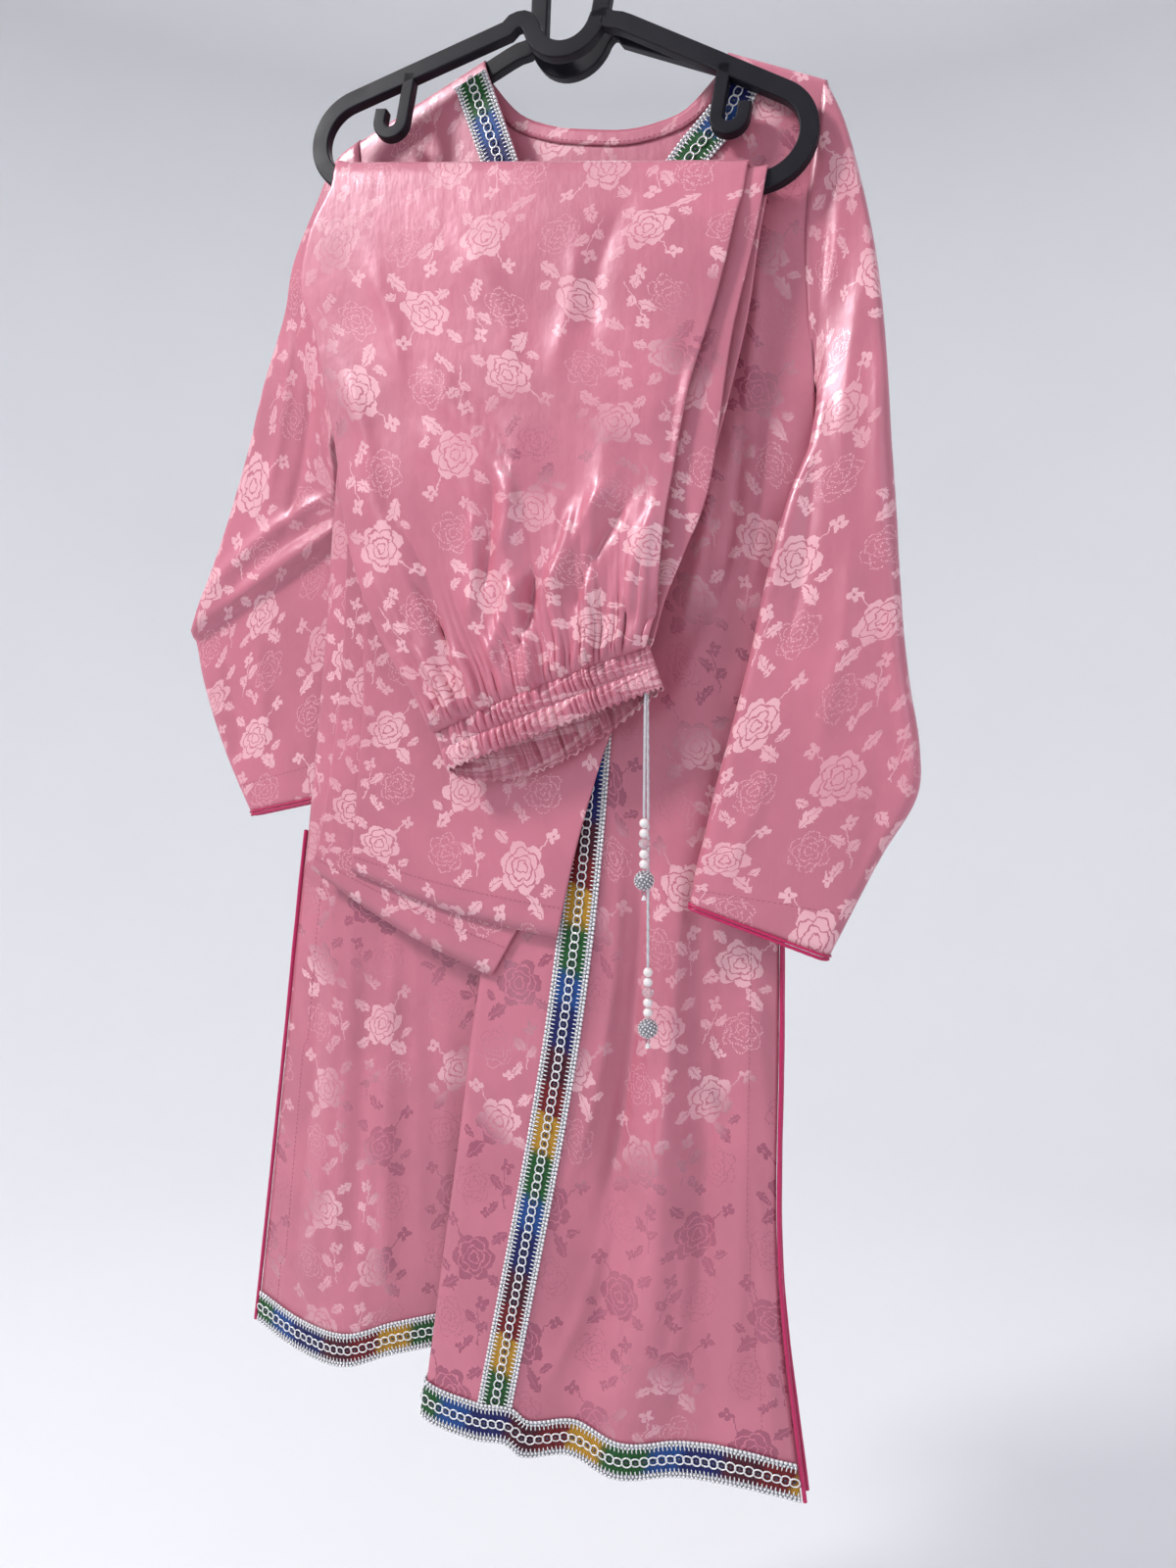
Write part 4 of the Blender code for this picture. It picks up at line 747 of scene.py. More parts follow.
def pearl_finish(name):
    finish = Finish(name, Roughness=0.18, Coat_Weight=0.7, Coat_Roughness=0.08)
    finish.shader.inputs["Subsurface Weight"].default_value = 0.15
    finish.shader.inputs["Subsurface Scale"].default_value = 0.002
    # Painted sheen: the colour turns pinker towards the pearl's rim, where it is seen edge-on
    facing = finish.node("ShaderNodeLayerWeight", None, {"Blend": 0.35}, 1)
    finish.into("Base Color", finish.mix(facing, (0.83, 0.80, 0.80, 1), (0.86, 0.62, 0.66, 1)))
    finish.bump(finish.noise(300.0, 2.0), 0.0001, 0.3)
    return finish.material


def glass_finish(name, colour, roughness=0.03, clear=0.75):
    finish = Finish(name, Roughness=roughness, IOR=1.6, Transmission_Weight=clear)
    speck = finish.noise(420.0, 1.0)
    finish.into("Base Color", finish.mix(speck, (*colour, 1), (1.0, 0.95, 0.96, 1)))
    return finish.material


PINK = dict(ground=(0.530, 0.152, 0.215), light=(0.80, 0.430, 0.480), dark=(0.33, 0.070, 0.125))
# Copies of one satin that differ only in how much painted sheen lightens the figure
BODY_SATIN = satin("body_satin", **PINK)
BACK_SATIN = satin("back_satin", **PINK, painted_sheen_shift=0.02)
SLEEVE_SATIN = satin("sleeve_satin", **PINK, painted_sheen_shift=0.20)
LEG_SATIN = satin("leg_satin", **PINK, painted_sheen_shift=0.16)
SILVER = thread("silver_thread", (0.88, 0.89, 0.93), 0.25, 0.30)
CORD_SILVER = thread("twisted_silver", (0.66, 0.65, 0.68), 0.32, 0.55)
CHAIN_BEAD = thread("chain_bead", (0.07, 0.07, 0.11), 0.15, 0.5)
MAGENTA = thread("magenta_satin", (0.50, 0.006, 0.10), 0.38, 0.0, 500.0)
STITCH = thread("pink_thread", (0.42, 0.10, 0.17), 0.55, 0.0, 1500.0)
BLACK = moulded_plastic("black_moulding", (0.0075, 0.0070, 0.0105))
PEARL_WHITE = pearl_finish("pearl_white")
CLEAR = glass_finish("clear_crystal", (0.92, 0.80, 0.84))
STONE = glass_finish("set_stone", (0.90, 0.92, 0.96), 0.06, 0.25)
SETTING = thread("stone_setting", (0.26, 0.26, 0.29), 0.28, 0.7, 600.0)


# Camera first, then the cords

def camera_and_lights():
    ahead = Vector((-math.sin(CAMERA_TURN) * math.cos(CAMERA_DOWN),
                    math.cos(CAMERA_TURN) * math.cos(CAMERA_DOWN), -math.sin(CAMERA_DOWN)))
    bpy.ops.object.camera_add(location=CAMERA_AT, rotation=ahead.to_track_quat("-Z", "Y").to_euler())
    camera = added("camera")
    camera.data.lens = CAMERA_LENS
    camera.data.sensor_width = 36.0
    camera.data.clip_start = 0.01
    bpy.context.scene.camera = camera
    for name, at, look, size, power, colour in (
            ("key", (-1.5, -1.35, 1.35), (-0.05, 0.0, -0.5), 0.5, 58, (1.0, 0.98, 0.96)),
            ("fill", (1.7, -1.7, 0.3), (0.0, 0.0, -0.6), 1.6, 8, (0.93, 0.96, 1.0)),
            ("rear", (-0.8, 1.9, 1.3), (0.0, 0.0, -0.5), 1.2, 14, (1.0, 1.0, 1.0))):
        aim = (Vector(look) - Vector(at)).to_track_quat("-Z", "Y").to_euler()
        bpy.ops.object.light_add(type="AREA", location=at, rotation=aim)
        lamp = added(name + "_light")
        lamp.data.shape = "DISK"
        lamp.data.size = size
        lamp.data.energy = power
        lamp.data.color = colour
    world = bpy.data.worlds.new("pale_room")
    world.use_nodes = True
    world.node_tree.nodes["Background"].inputs[0].default_value = (0.92, 0.95, 1.0, 1)
    world.node_tree.nodes["Background"].inputs[1].default_value = 0.50
    bpy.context.scene.world = world
    bpy.context.scene.view_settings.view_transform = "Standard"
    # A round floor that curves up into a low wall, so that every side is seen against it
    clear_choice()
    bpy.ops.mesh.primitive_circle_add(vertices=96, radius=BOWL_FLOOR, fill_type="NGON",
                                      location=(0, 0, FLOOR_Z))
    floor = settle(added("floor"))
    take(floor)
    bpy.ops.object.mode_set(mode="EDIT")
    bpy.ops.mesh.select_mode(type="EDGE")
    reach = BOWL_FLOOR
    height = FLOOR_Z
    bpy.ops.mesh.select_all(action="DESELECT")
    bpy.ops.mesh.select_non_manifold()
    for k in range(1, 14):
        angle = math.radians(90 * min(k, 12) / 12)
        out = BOWL_FLOOR + BOWL_CURVE * math.sin(angle)
        up = FLOOR_Z + BOWL_CURVE * (1 - math.cos(angle)) + (BOWL_WALL if k == 13 else 0.0)
        bpy.ops.mesh.extrude_region_move(TRANSFORM_OT_translate={"value": (0, 0, up - height)})
        bpy.ops.transform.resize(value=(out / reach, out / reach, 1), center_override=(0, 0, up))
        reach = out
        height = up
    bpy.ops.mesh.select_all(action="SELECT")
    bpy.ops.mesh.normals_make_consistent(inside=True)
    bpy.ops.object.mode_set(mode="OBJECT")
    bpy.ops.object.shade_smooth()
    paint = Finish("pale_floor", Roughness=0.75)
    paint.into("Base Color", paint.mix(paint.noise(3.0, 3.0), (0.82, 0.83, 0.86, 1),
                                       (0.85, 0.86, 0.89, 1)))
    floor.data.materials.append(paint.material)


def cord_line(side, end, count):
    x, y, z = CORD_TOP
    line = []
    for i in range(count + 1):
        at_z = z + (end - z) * i / count
        spread = min((z - at_z) / (z - CORD_ENDS["short"]) * 1.2, 1.0)
        line.append((x, y + side * (CORD_SPACE + (TASSEL_SPACE - CORD_SPACE) * spread), at_z))
    return line


def round_bead(name, centre, radius, finish):
    clear_choice()
    bpy.ops.mesh.primitive_uv_sphere_add(segments=32, ring_count=20, radius=radius, location=centre)
    bead = added(name)
    bpy.ops.object.shade_smooth()
    return finish_with(settle(bead), finish)


def joined(name, things):
    clear_choice()
    for thing in things:
        thing.select_set(True)
    bpy.context.view_layer.objects.active = things[0]
    bpy.ops.object.join()
    return added(name)


def crystal_bead(name, centre):
    clear_choice()
    bpy.ops.mesh.primitive_uv_sphere_add(segments=10, ring_count=6, radius=CRYSTAL, location=centre,
                                         scale=(1.0, 1.0, CRYSTAL_HIGH / 2 / CRYSTAL))
    bead = settle(added(name))
    bevel = bead.modifiers.new("edges", "BEVEL")
    bevel.width = 0.00012
    bevel.segments = 1
    apply_all(bead)
    return finish_with(bead, CLEAR)


def stone_ball(name, centre):
    """A ball set all over with small cut stones, each in a small ring setting."""
    centre = np.array(centre)
    core = round_bead(name + "_core", centre, BALL * 0.86, SETTING)
    count = 84
    golden = math.pi * (3 - math.sqrt(5))
    high = 1 - 2 * (np.arange(count) + 0.5) / count
    turn = golden * np.arange(count)
    flat = np.sqrt(1 - high ** 2)
    normal = np.stack((flat * np.cos(turn), flat * np.sin(turn), high), axis=1)
    first = normalised(np.cross(normal, np.array((0.31, 0.2, 0.93))))
    frames = (centre + normal * BALL * 0.86, first, np.cross(normal, first), normal)
    shape = prototype(bpy.ops.mesh.primitive_cone_add, vertices=8, radius1=0.00098, radius2=0.00052,
                      depth=0.0011)
    stones = array_of(name + "_stones", shape, frames, STONE, smooth=False)
    shape = prototype(bpy.ops.mesh.primitive_torus_add, major_segments=10, minor_segments=5,
                      major_radius=0.00105, minor_radius=0.00022)
    claws = array_of(name + "_settings", shape, moved_frames(frames, lift=-0.0002), SETTING)
    return [core, stones, claws]


def tassel(length_name, side):
    end = CORD_ENDS[length_name]
    line = cord_line(side, end, 220)
    name = length_name + "_drawstring"
    cord = tube(name, line, CORD_RADIUS, 24, strands=3, twist=2200.0, depth=0.30)
    finish_with(cord, CORD_SILVER)
    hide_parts("tassel_cord_" + length_name)
    x, y, z = line[-1]
    z -= SEAM_GAP
    pearls = []
    parts = []
    for kind in ("pearl", "pearl", "crystal", "pearl", "pearl"):
        if kind == "pearl":
            pearls.append(round_bead(name + "_pearl", (x, y, z - PEARL), PEARL, PEARL_WHITE))
            z -= 2 * PEARL
        else:
            parts.append(crystal_bead(name + "_crystal", (x, y, z - CRYSTAL_HIGH / 2)))
            z -= CRYSTAL_HIGH
    strung = joined(name + "_pearls", pearls)
    parts.append(strung)
    parts += stone_ball(name + "_ball", (x, y, z - BALL))
    z -= 2 * BALL
    clear_choice()
    bpy.ops.mesh.primitive_torus_add(location=(x, y, z - 0.0012), rotation=(math.pi / 2, 0, 0.4),
                                     major_radius=0.0013, minor_radius=0.00035, major_segments=24,
                                     minor_segments=8)
    loop = settle(added(name + "_loop"))
    bpy.ops.object.shade_smooth()
    parts.append(finish_with(loop, SETTING))
    clear_choice()
    bpy.ops.mesh.primitive_cone_add(vertices=8, radius1=CAP, radius2=0.0007, depth=0.0034,
                                    location=(x, y, z - 0.0040))
    drop = settle(added(name + "_drop"))
    bevel = drop.modifiers.new("cut", "BEVEL")
    bevel.width = 0.0004
    bevel.segments = 2
    apply_all(drop)
    parts.append(finish_with(drop, STONE))
    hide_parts("tassel_beads_" + length_name)
    line[::6] + [line[-1]]


camera_and_lights()
tassel("short", -1)
tassel("long", 1)


# Smooth values between named places

def curve_between(t, reach, start, leaving, end, arriving):
    """A place on the smooth curve between two others, with the slope at each of them."""
    return ((2 * t ** 3 - 3 * t ** 2 + 1) * start + (t ** 3 - 2 * t ** 2 + t) * reach * leaving
            + (3 * t ** 2 - 2 * t ** 3) * end + (t ** 3 - t ** 2) * reach * arriving)


def eased(points, at):
    places = [p for p, _ in points]
    values = [q for _, q in points]
    slopes = []
    for i in range(len(points)):
        low = max(i - 1, 0)
        high = min(i + 1, len(points) - 1)
        slopes.append((values[high] - values[low]) / (places[high] - places[low]))
    i = int(np.clip(np.searchsorted(places, at) - 1, 0, len(points) - 2))
    span = places[i + 1] - places[i]
    return curve_between((at - places[i]) / span, span, values[i], slopes[i], values[i + 1],
                         slopes[i + 1])


def straight_between(pairs, at):
    return float(np.interp(at, [p for p, _ in pairs], [q for _, q in pairs]))


def finer_rows(rows, spacing, fine=None, fine_rows=0):
    """Smooth rows between a few given ones, no further apart than the spacing."""
    rows = np.asarray(rows, dtype=float)
    gaps = np.maximum(np.linalg.norm(np.diff(rows, axis=0), axis=2).mean(axis=1), 1e-5)
    at = np.concatenate(([0.0], np.cumsum(gaps)))
    slopes = np.empty_like(rows)
    slopes[1:-1] = (rows[2:] - rows[:-2]) / (at[2:] - at[:-2])[:, None, None]
    slopes[0] = (rows[1] - rows[0]) / gaps[0]
    slopes[-1] = (rows[-1] - rows[-2]) / gaps[-1]
    made = []
    for i, gap in enumerate(gaps):
        steps = max(1, math.ceil(gap / (fine if i < fine_rows else spacing)))
        for k in range(steps):
            made.append(curve_between(k / steps, gap, rows[i], slopes[i], rows[i + 1], slopes[i + 1]))
    made.append(rows[-1])
    return np.array(made)


def grid_normals(grid, facing=-1):
    """Normals of a grid of points, towards the front (-1) or the back (1) on the whole."""
    normal = normalised(np.cross(np.gradient(grid, axis=0), np.gradient(grid, axis=1)))
    if normal[..., 1].mean() * facing < 0:
        normal = -normal
    return normal


def creased(grid, normals, table, weight=1.0):
    """Soft ridges and troughs, one row for each: x and z of both ends, sideways bend, width and
    height in millimetres, height below zero for a trough."""
    moved = np.zeros(grid.shape[:2])
    for x0, z0, x1, z1, bend, width, height in table:
        ahead = np.array((x1 - x0, z1 - z0))
        reach = np.linalg.norm(ahead)
        ahead = ahead / reach
        away = np.stack((grid[..., 0] - x0, grid[..., 2] - z0), axis=2)
        p = np.clip(away @ ahead / reach, 0, 1)
        curve = 4 * p * (1 - p) * bend / 1000
        q = away @ np.array((-ahead[1], ahead[0])) - curve
        past = away @ ahead - p * reach
        taper = np.clip(np.minimum(p, 1 - p) * 5, 0, 1)
        taper = 0.25 + 0.75 * taper * taper * (3 - 2 * taper)
        away = np.sqrt(q ** 2 + past ** 2) / (width / 1000)
        moved += height / 1000 * taper * np.exp(-away ** 1.6)
    return grid + normals * (moved * weight)[..., None]


# Hangers

def arc(centre, radius, start, end, steps):
    made = []
    for i in range(steps + 1):
        angle = start + (end - start) * i / steps
        made.append((centre[0] + radius * math.cos(angle), centre[1] + radius * math.sin(angle)))
    return made


def arm_height(x):
    return ARM_START[1] - math.tan(ARM_SLOPE) * (abs(x) - ARM_START[0])


END_CENTRE = (ARM_END_X - END_RADIUS * math.sin(ARM_SLOPE),
              arm_height(ARM_END_X) - END_RADIUS * math.cos(ARM_SLOPE))
BAR_HEIGHT = END_CENTRE[1] - END_RADIUS


def hanger_place(at, roll, lean, turn):
    upright = Matrix.Rotation(math.pi / 2, 4, "X")
    return (Matrix.Translation(at) @ Matrix.Rotation(turn, 4, "Z") @ Matrix.Rotation(-lean, 4, "X")
            @ Matrix.Rotation(roll, 4, "Y") @ upright)


FRONT_PLACE = hanger_place(*FRONT_HANG)
REAR_PLACE = hanger_place(*REAR_HANG)


def frame_outline():
    right = arc(END_CENTRE, END_RADIUS, math.pi / 2 - ARM_SLOPE, -math.pi / 2, 28)
    left = [(-x, z) for x, z in reversed(right)]
    dip = arc(DIP_CENTRE, DIP_RADIUS, math.radians(-160), math.radians(-8), 20)
    hump = [(-0.046, arm_height(0.046) + 0.0005), (-0.0420, -0.0800), (-0.0385, -0.0785),
            (-0.0352, -0.0781), (-0.0325, -0.0790), (-0.0295, -0.0815)]
    return [(0.044, arm_height(0.044)), *right, (0.05, BAR_HEIGHT), (-0.05, BAR_HEIGHT), *left,
            *hump, *dip, (0.0240, -0.0785), (0.0300, -0.0812), (0.0370, -0.0822)]


def hook_line():
    top = (STEM_X - HOOK_RADIUS, HOOK_TOP - HOOK_RADIUS)
    return [(STEM_X, -0.0790), (STEM_X, -0.045), *arc(top, HOOK_RADIUS, 0, HOOK_SWEEP, 44)]


def strap_hook(side):
    turn = arc((STRAP_X + STRAP_RADIUS, -STRAP_DROP), STRAP_RADIUS, math.pi, 2 * math.pi, 18)
    line = [(STRAP_X, arm_height(STRAP_X)), *turn, (STRAP_X + 2 * STRAP_RADIUS, -STRAP_DROP + STRAP_TIP)]
    return [(side * x, z) for x, z in line]


def moulded_bar(name, line, wide, cyclic):
    """A flat bar with rounded edges, swept along a line drawn flat."""
    half_wide = wide / 2
    half_deep = HANGER_DEEP / 2
    edge = 0.0011
    corners = []
    for sign_x, sign_y, start in ((1, 1, 0), (-1, 1, 90), (-1, -1, 180), (1, -1, 270)):
        for k in range(4):
            angle = math.radians(start + 30 * k)
            corners.append((sign_x * (half_wide - edge) + edge * math.cos(angle),
                            sign_y * (half_deep - edge) + edge * math.sin(angle)))
    clear_choice()
    bpy.ops.curve.primitive_nurbs_path_add()
    section = added(name + "_section")
    section.data.splines.clear()
    outline = section.data.splines.new("POLY")
    outline.points.add(len(corners) - 1)
    for point, (x, y) in zip(outline.points, corners):
        point.co = (x, y, 0.0, 1.0)
    outline.use_cyclic_u = True
    clear_choice()
    bpy.ops.curve.primitive_nurbs_path_add()
    bar = added(name)
    bar.data.splines.clear()
    spline = bar.data.splines.new("POLY")
    spline.points.add(len(line) - 1)
    for point, (x, z) in zip(spline.points, line):
        point.co = (x, z, 0.0, 1.0)
    spline.use_cyclic_u = cyclic
    bar.data.dimensions = "2D"
    bar.data.fill_mode = "NONE"
    bar.data.bevel_mode = "OBJECT"
    bar.data.bevel_object = section
    bar.data.use_fill_caps = not cyclic
    take(bar)
    bpy.ops.object.convert(target="MESH")
    bar = bpy.context.object
    bpy.ops.object.mode_set(mode="EDIT")
    bpy.ops.mesh.select_all(action="SELECT")
    bpy.ops.mesh.remove_doubles(threshold=0.00002)
    bpy.ops.mesh.normals_make_consistent(inside=False)
    bpy.ops.object.mode_set(mode="OBJECT")
    bpy.data.objects.remove(section, do_unlink=True)
    return bar


def hanger(name, node, place, side):
    frame_bar = moulded_bar(name, frame_outline(), HANGER_WIDE, True)
    tools = [moulded_bar(name + "_hook", hook_line(), HANGER_WIDE, False),
             moulded_bar(name + "_strap_right", strap_hook(1), HANGER_WIDE * 0.72, False),
             moulded_bar(name + "_strap_left", strap_hook(-1), HANGER_WIDE * 0.72, False)]
    for tool in tools:
        union = frame_bar.modifiers.new("union", "BOOLEAN")
        union.operation = "UNION"
        union.solver = "EXACT"
        union.object = tool
    apply_all(frame_bar)
    for tool in tools:
        bpy.data.objects.remove(tool, do_unlink=True)
    mesh = frame_bar.data
    if side < 0:
        mesh.transform(Matrix.Scale(-1, 4, (1, 0, 0)))
        mesh.flip_normals()
    mesh.transform(place)
    take(frame_bar)
    bpy.ops.object.shade_smooth_by_angle(angle=math.radians(40))
    flats = frame_bar.modifiers.new("flats", "WEIGHTED_NORMAL")
    flats.keep_sharp = True
    flats.weight = 70
    apply_all(frame_bar)
    finish_with(frame_bar, BLACK)
    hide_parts(node)
    return frame_bar


hanger("front_hanger_moulding", "hanger_front", FRONT_PLACE, 1)
hanger("rear_hanger_moulding", "hanger_rear", REAR_PLACE, -1)


# Tunic panels

def edge_at(edge, level):
    return eased([(LEVEL[name], edge[name]) for name in LEVEL], level)


def shoulder_height(x):
    roll = REAR_HANG[1]
    off = x - REAR_HANG[0][0]
    along = off
    for _ in range(4):
        up = arm_height(along) + HANGER_WIDE / 2 / math.cos(ARM_SLOPE)
        along = (off - up * math.sin(roll)) / math.cos(roll)
    return up * math.cos(roll) - along * math.sin(roll) + SEAM_GAP + PANEL_WALL / 2 + 0.0007


def side_y(level, across, side):
    middle = SIDE_MIDDLE_LEFT if across == 0.0 else SIDE_MIDDLE_RIGHT
    return straight_between(middle, level) + side * straight_between(EDGE_GAP, level)


def line_point(line, level, side):
    """A point on one fold line of a panel, at one level below the shoulder."""
    _, top_across, waist_across, hip_x, hem_x, chest_y, waist_y, hip_y, hem_y, hem_z, _ = line
    across = straight_between(((0.0, top_across), (LEVEL["underarm"], top_across),
                               (LEVEL["waist"], waist_across)), level)
    if across in (0.0, 1.0):
        x = edge_at(LEFT_EDGE if across == 0.0 else RIGHT_EDGE, level)
        y = side_y(level, across, side)
    else:
        at_underarm = LEVEL["underarm"]
        at_waist = LEVEL["waist"]
        left = edge_at(LEFT_EDGE, min(level, at_waist))
        right = edge_at(RIGHT_EDGE, min(level, at_waist))
        x = left + (right - left) * across
        if level > at_waist:
            under_x = (edge_at(LEFT_EDGE, at_underarm) * (1 - top_across)
                       + edge_at(RIGHT_EDGE, at_underarm) * top_across)
            x = eased([(at_underarm, under_x), (at_waist, x), (LEVEL["hip"], hip_x),
                       (LEVEL["hem"], hem_x)], level)
        y = eased([(0.0, chest_y), (LEVEL["underarm"], chest_y), (LEVEL["waist"], waist_y),
                   (LEVEL["hip"], hip_y), (LEVEL["hem"], hem_y)], level)
    shoulder_x = LEFT_EDGE["shoulder"] * (1 - top_across) + RIGHT_EDGE["shoulder"] * top_across
    top = shoulder_height(shoulder_x)
    return np.array((x, y, top + (hem_z - top) * level))


def panel_columns(lines):
    made = []
    for number, line in enumerate(lines[:-1]):
        made += [number + step / line[-1] for step in range(line[-1])]
    return np.array([*made, len(lines) - 1])


def between_lines(points, at):
    """Smooth curve through the fold lines' points at one level, at many places."""
    points = np.asarray(points)
    i = np.minimum(at.astype(int), len(points) - 2)
    t = (at - i)[:, None]
    before = points[np.maximum(i - 1, 0)]
    start = points[i]
    end = points[i + 1]
    after = points[np.minimum(i + 2, len(points) - 1)]

    def far(a, b):
        return np.linalg.norm(b - a, axis=1, keepdims=True)

    reach = far(start, end)
    slope_a = (end - before) / (reach + far(before, start) + 1e-9)
    slope_b = (after - start) / (far(end, after) + reach + 1e-9)
    return curve_between(t, reach, start, slope_a, end, slope_b)


def panel_grid(lines, side, levels):
    """A panel's rows: round the hanger's arm from the shoulder seam, then down to the hem."""
    columns = panel_columns(lines)
    rows = []
    top = between_lines([line_point(line, 0.0, side) for line in lines], columns)
    seam = (PANEL_WALL + SEAM_GAP) / 2
    for angle in (0, 18, 36, 54, 72, 90):
        row = top.copy()
        row[:, 1] = side * (seam + (SHOULDER_Y - seam) * math.sin(math.radians(angle)))
        row[:, 2] -= WRAP_DROP * (1 - math.cos(math.radians(angle)))
        rows.append(row)
    for level in levels:
        rows.append(between_lines([line_point(line, level, side) for line in lines], columns))
    return np.array(rows)


HEM_LEVEL = 1 - TRIM_WIDTH / 0.96
BODY_LEVELS = (*np.linspace(0.012, HEM_LEVEL, 112), *np.linspace(HEM_LEVEL, 1.0, 7)[1:])


def panel_depth(grid, x, z):
    heights = [float(np.interp(x, row[:, 0], row[:, 2])) for row in grid[:70]]
    depths = [float(np.interp(x, row[:, 0], row[:, 1])) for row in grid[:70]]
    return float(np.interp(-z, [-height for height in heights], depths))


def smooth_line(points, step):
    """An open line through flat points, rounded between them, at even short steps."""
    rows = np.array([[(x, 0.0, z)] for x, z in points])
    fine = finer_rows(rows, step)[:, 0]
    return [Vector((p[0], p[2])) for p in fine]


def neck_cut(thing, outline):
    """Cut the neck's shape out of a panel."""
    clear_choice()
    bpy.ops.mesh.primitive_circle_add(vertices=len(outline), radius=0.1, fill_type="NGON")
    cutter = added(thing.name + "_cutter")
    for vert, (x, z) in zip(cutter.data.vertices, outline):
        vert.co = (x, -0.06, z)
    open_all(cutter)
    bpy.ops.mesh.extrude_region_move(TRANSFORM_OT_translate={"value": (0, 0.12, 0)})
    bpy.ops.mesh.select_all(action="SELECT")
    bpy.ops.mesh.normals_make_consistent(inside=False)
    bpy.ops.object.mode_set(mode="OBJECT")
    cut = thing.modifiers.new("neck", "BOOLEAN")
    cut.operation = "DIFFERENCE"
    cut.solver = "EXACT"
    cut.object = cutter
    apply_all(thing)
    bpy.data.objects.remove(cutter, do_unlink=True)


# Creases of the tunic's panels: x and z of both ends, bend, width and height in millimetres
FRONT_CREASES = (
    (0.030, -0.655, -0.005, -0.895, 10, 5, 3.0), (0.045, -0.665, 0.015, -0.915, 8, 4, -3.0),
    (0.075, -0.660, 0.045, -0.930, 8, 5, 2.8), (0.065, -0.740, 0.030, -1.025, 6, 4, -2.6),
    (0.050, -0.775, 0.100, -0.910, -8, 6, 2.2), (0.095, -0.730, 0.080, -0.990, 6, 6, -2.2),
    (0.120, -0.740, 0.110, -1.040, 4, 6, 2.0), (0.030, -0.890, -0.025, -1.045, 6, 5, 2.2),
    (0.080, -0.925, 0.060, -1.050, 4, 5, 2.2), (0.125, -0.855, 0.135, -1.055, 3, 5, 1.8),
    (-0.185, -0.690, -0.210, -1.005, 6, 6, 2.4), (-0.160, -0.700, -0.175, -1.005, 4, 5, -2.2),
    (-0.135, -0.710, -0.135, -0.985, 3, 6, 2.0), (-0.220, -0.740, -0.250, -1.015, 4, 6, -2.0),
    (-0.080, -0.760, -0.095, -0.990, 5, 5, 1.6), (0.125, -0.255, 0.105, -0.395, 6, 6, 2.2),
    (0.115, -0.335, 0.100, -0.480, 4, 5, -2.4), (0.135, -0.355, 0.120, -0.480, 4, 5, 2.2),
    (0.095, -0.375, 0.075, -0.500, 4, 5, 2.0), (0.120, -0.430, 0.060, -0.560, 6, 7, 2.0),
    (0.130, -0.520, 0.090, -0.660, -5, 6, -2.0), (0.110, -0.560, 0.110, -0.700, 4, 6, 2.0),
    (-0.190, -0.250, -0.120, -0.360, 6, 9, 1.6), (-0.180, -0.170, -0.150, -0.300, 4, 7, -1.4),
    (0.060, -0.640, 0.050, -1.060, 8, 12, 5.0), (0.090, -0.650, 0.100, -1.060, -8, 11, -4.5),
    (0.120, -0.700, 0.140, -1.070, 6, 10, 4.0), (0.035, -0.760, 0.005, -1.050, 5, 9, -3.6),
    (-0.200, -0.720, -0.230, -1.020, 6, 11, 4.0), (-0.150, -0.730, -0.160, -1.010, -6, 10, 4.2),
    (-0.175, -0.740, -0.195, -1.010, 5, 9, -3.6), (-0.110, -0.780, -0.120, -1.000, 4, 8, 3.0),
)
BACK_CREASES = (
    (-0.160, -0.420, -0.200, -0.950, 6, 9, 1.8), (-0.060, -0.520, -0.080, -1.020, -5, 8, -1.6),
    (0.040, -0.480, 0.030, -1.000, 5, 8, 1.8), (0.100, -0.560, 0.110, -1.010, 3, 8, -1.4),
    (-0.120, -0.300, -0.020, -0.420, 8, 10, 1.6), (0.120, -0.300, 0.040, -0.400, -8, 9, 1.4),
    (-0.130, -0.620, -0.150, -1.010, 4, 8, 1.4), (0.000, -0.700, -0.030, -1.030, 4, 7, 1.4),
    (-0.150, -0.180, -0.090, -0.280, 6, 8, 1.2), (0.130, -0.180, 0.100, -0.300, -5, 8, 1.0),
)

front_grid = panel_grid(FRONT_LINES, -1, BODY_LEVELS)
front_grid = creased(front_grid, grid_normals(front_grid, -1), FRONT_CREASES)
back_grid = panel_grid(BACK_LINES, 1, BODY_LEVELS)
back_grid = creased(back_grid, grid_normals(back_grid, 1), BACK_CREASES)
front_columns = list(panel_columns(FRONT_LINES))
CENTRE_LEFT = front_columns.index(8)
CENTRE_RIGHT = front_columns.index(9)

front_neck_line = [(p.x, p.y) for p in smooth_line(FRONT_NECK[1:5], 0.01)]
front_neck_line += [(p.x, p.y) for p in smooth_line(FRONT_NECK[4:10], 0.01)[1:]]
front_cloth = cloth_sheet("kameez_front_cloth", front_grid, CLOTH, middle=CENTRE_LEFT)
neck_cut(front_cloth, [FRONT_NECK[0], *front_neck_line, FRONT_NECK[-1]])
finish_with(front_cloth, BODY_SATIN)
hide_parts("kameez_front")
back_neck_line = [(p.x, p.y) for p in smooth_line(BACK_NECK[1:-1], 0.008)]
back_cloth = cloth_sheet("kameez_back_cloth", back_grid, CLOTH, middle=52, facing=1)
neck_cut(back_cloth, [BACK_NECK[0], *back_neck_line, BACK_NECK[-1]])
finish_with(back_cloth, BACK_SATIN)
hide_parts("kameez_back")


# Braid and facing

def beside(outline, distance):
    points = [Vector(p) for p in outline]
    made = []
    for i, point in enumerate(points):
        ahead = points[min(i + 1, len(points) - 1)] - points[max(i - 1, 0)]
        made.append(point + Vector((ahead.y, -ahead.x)).normalized() * distance)
    return made


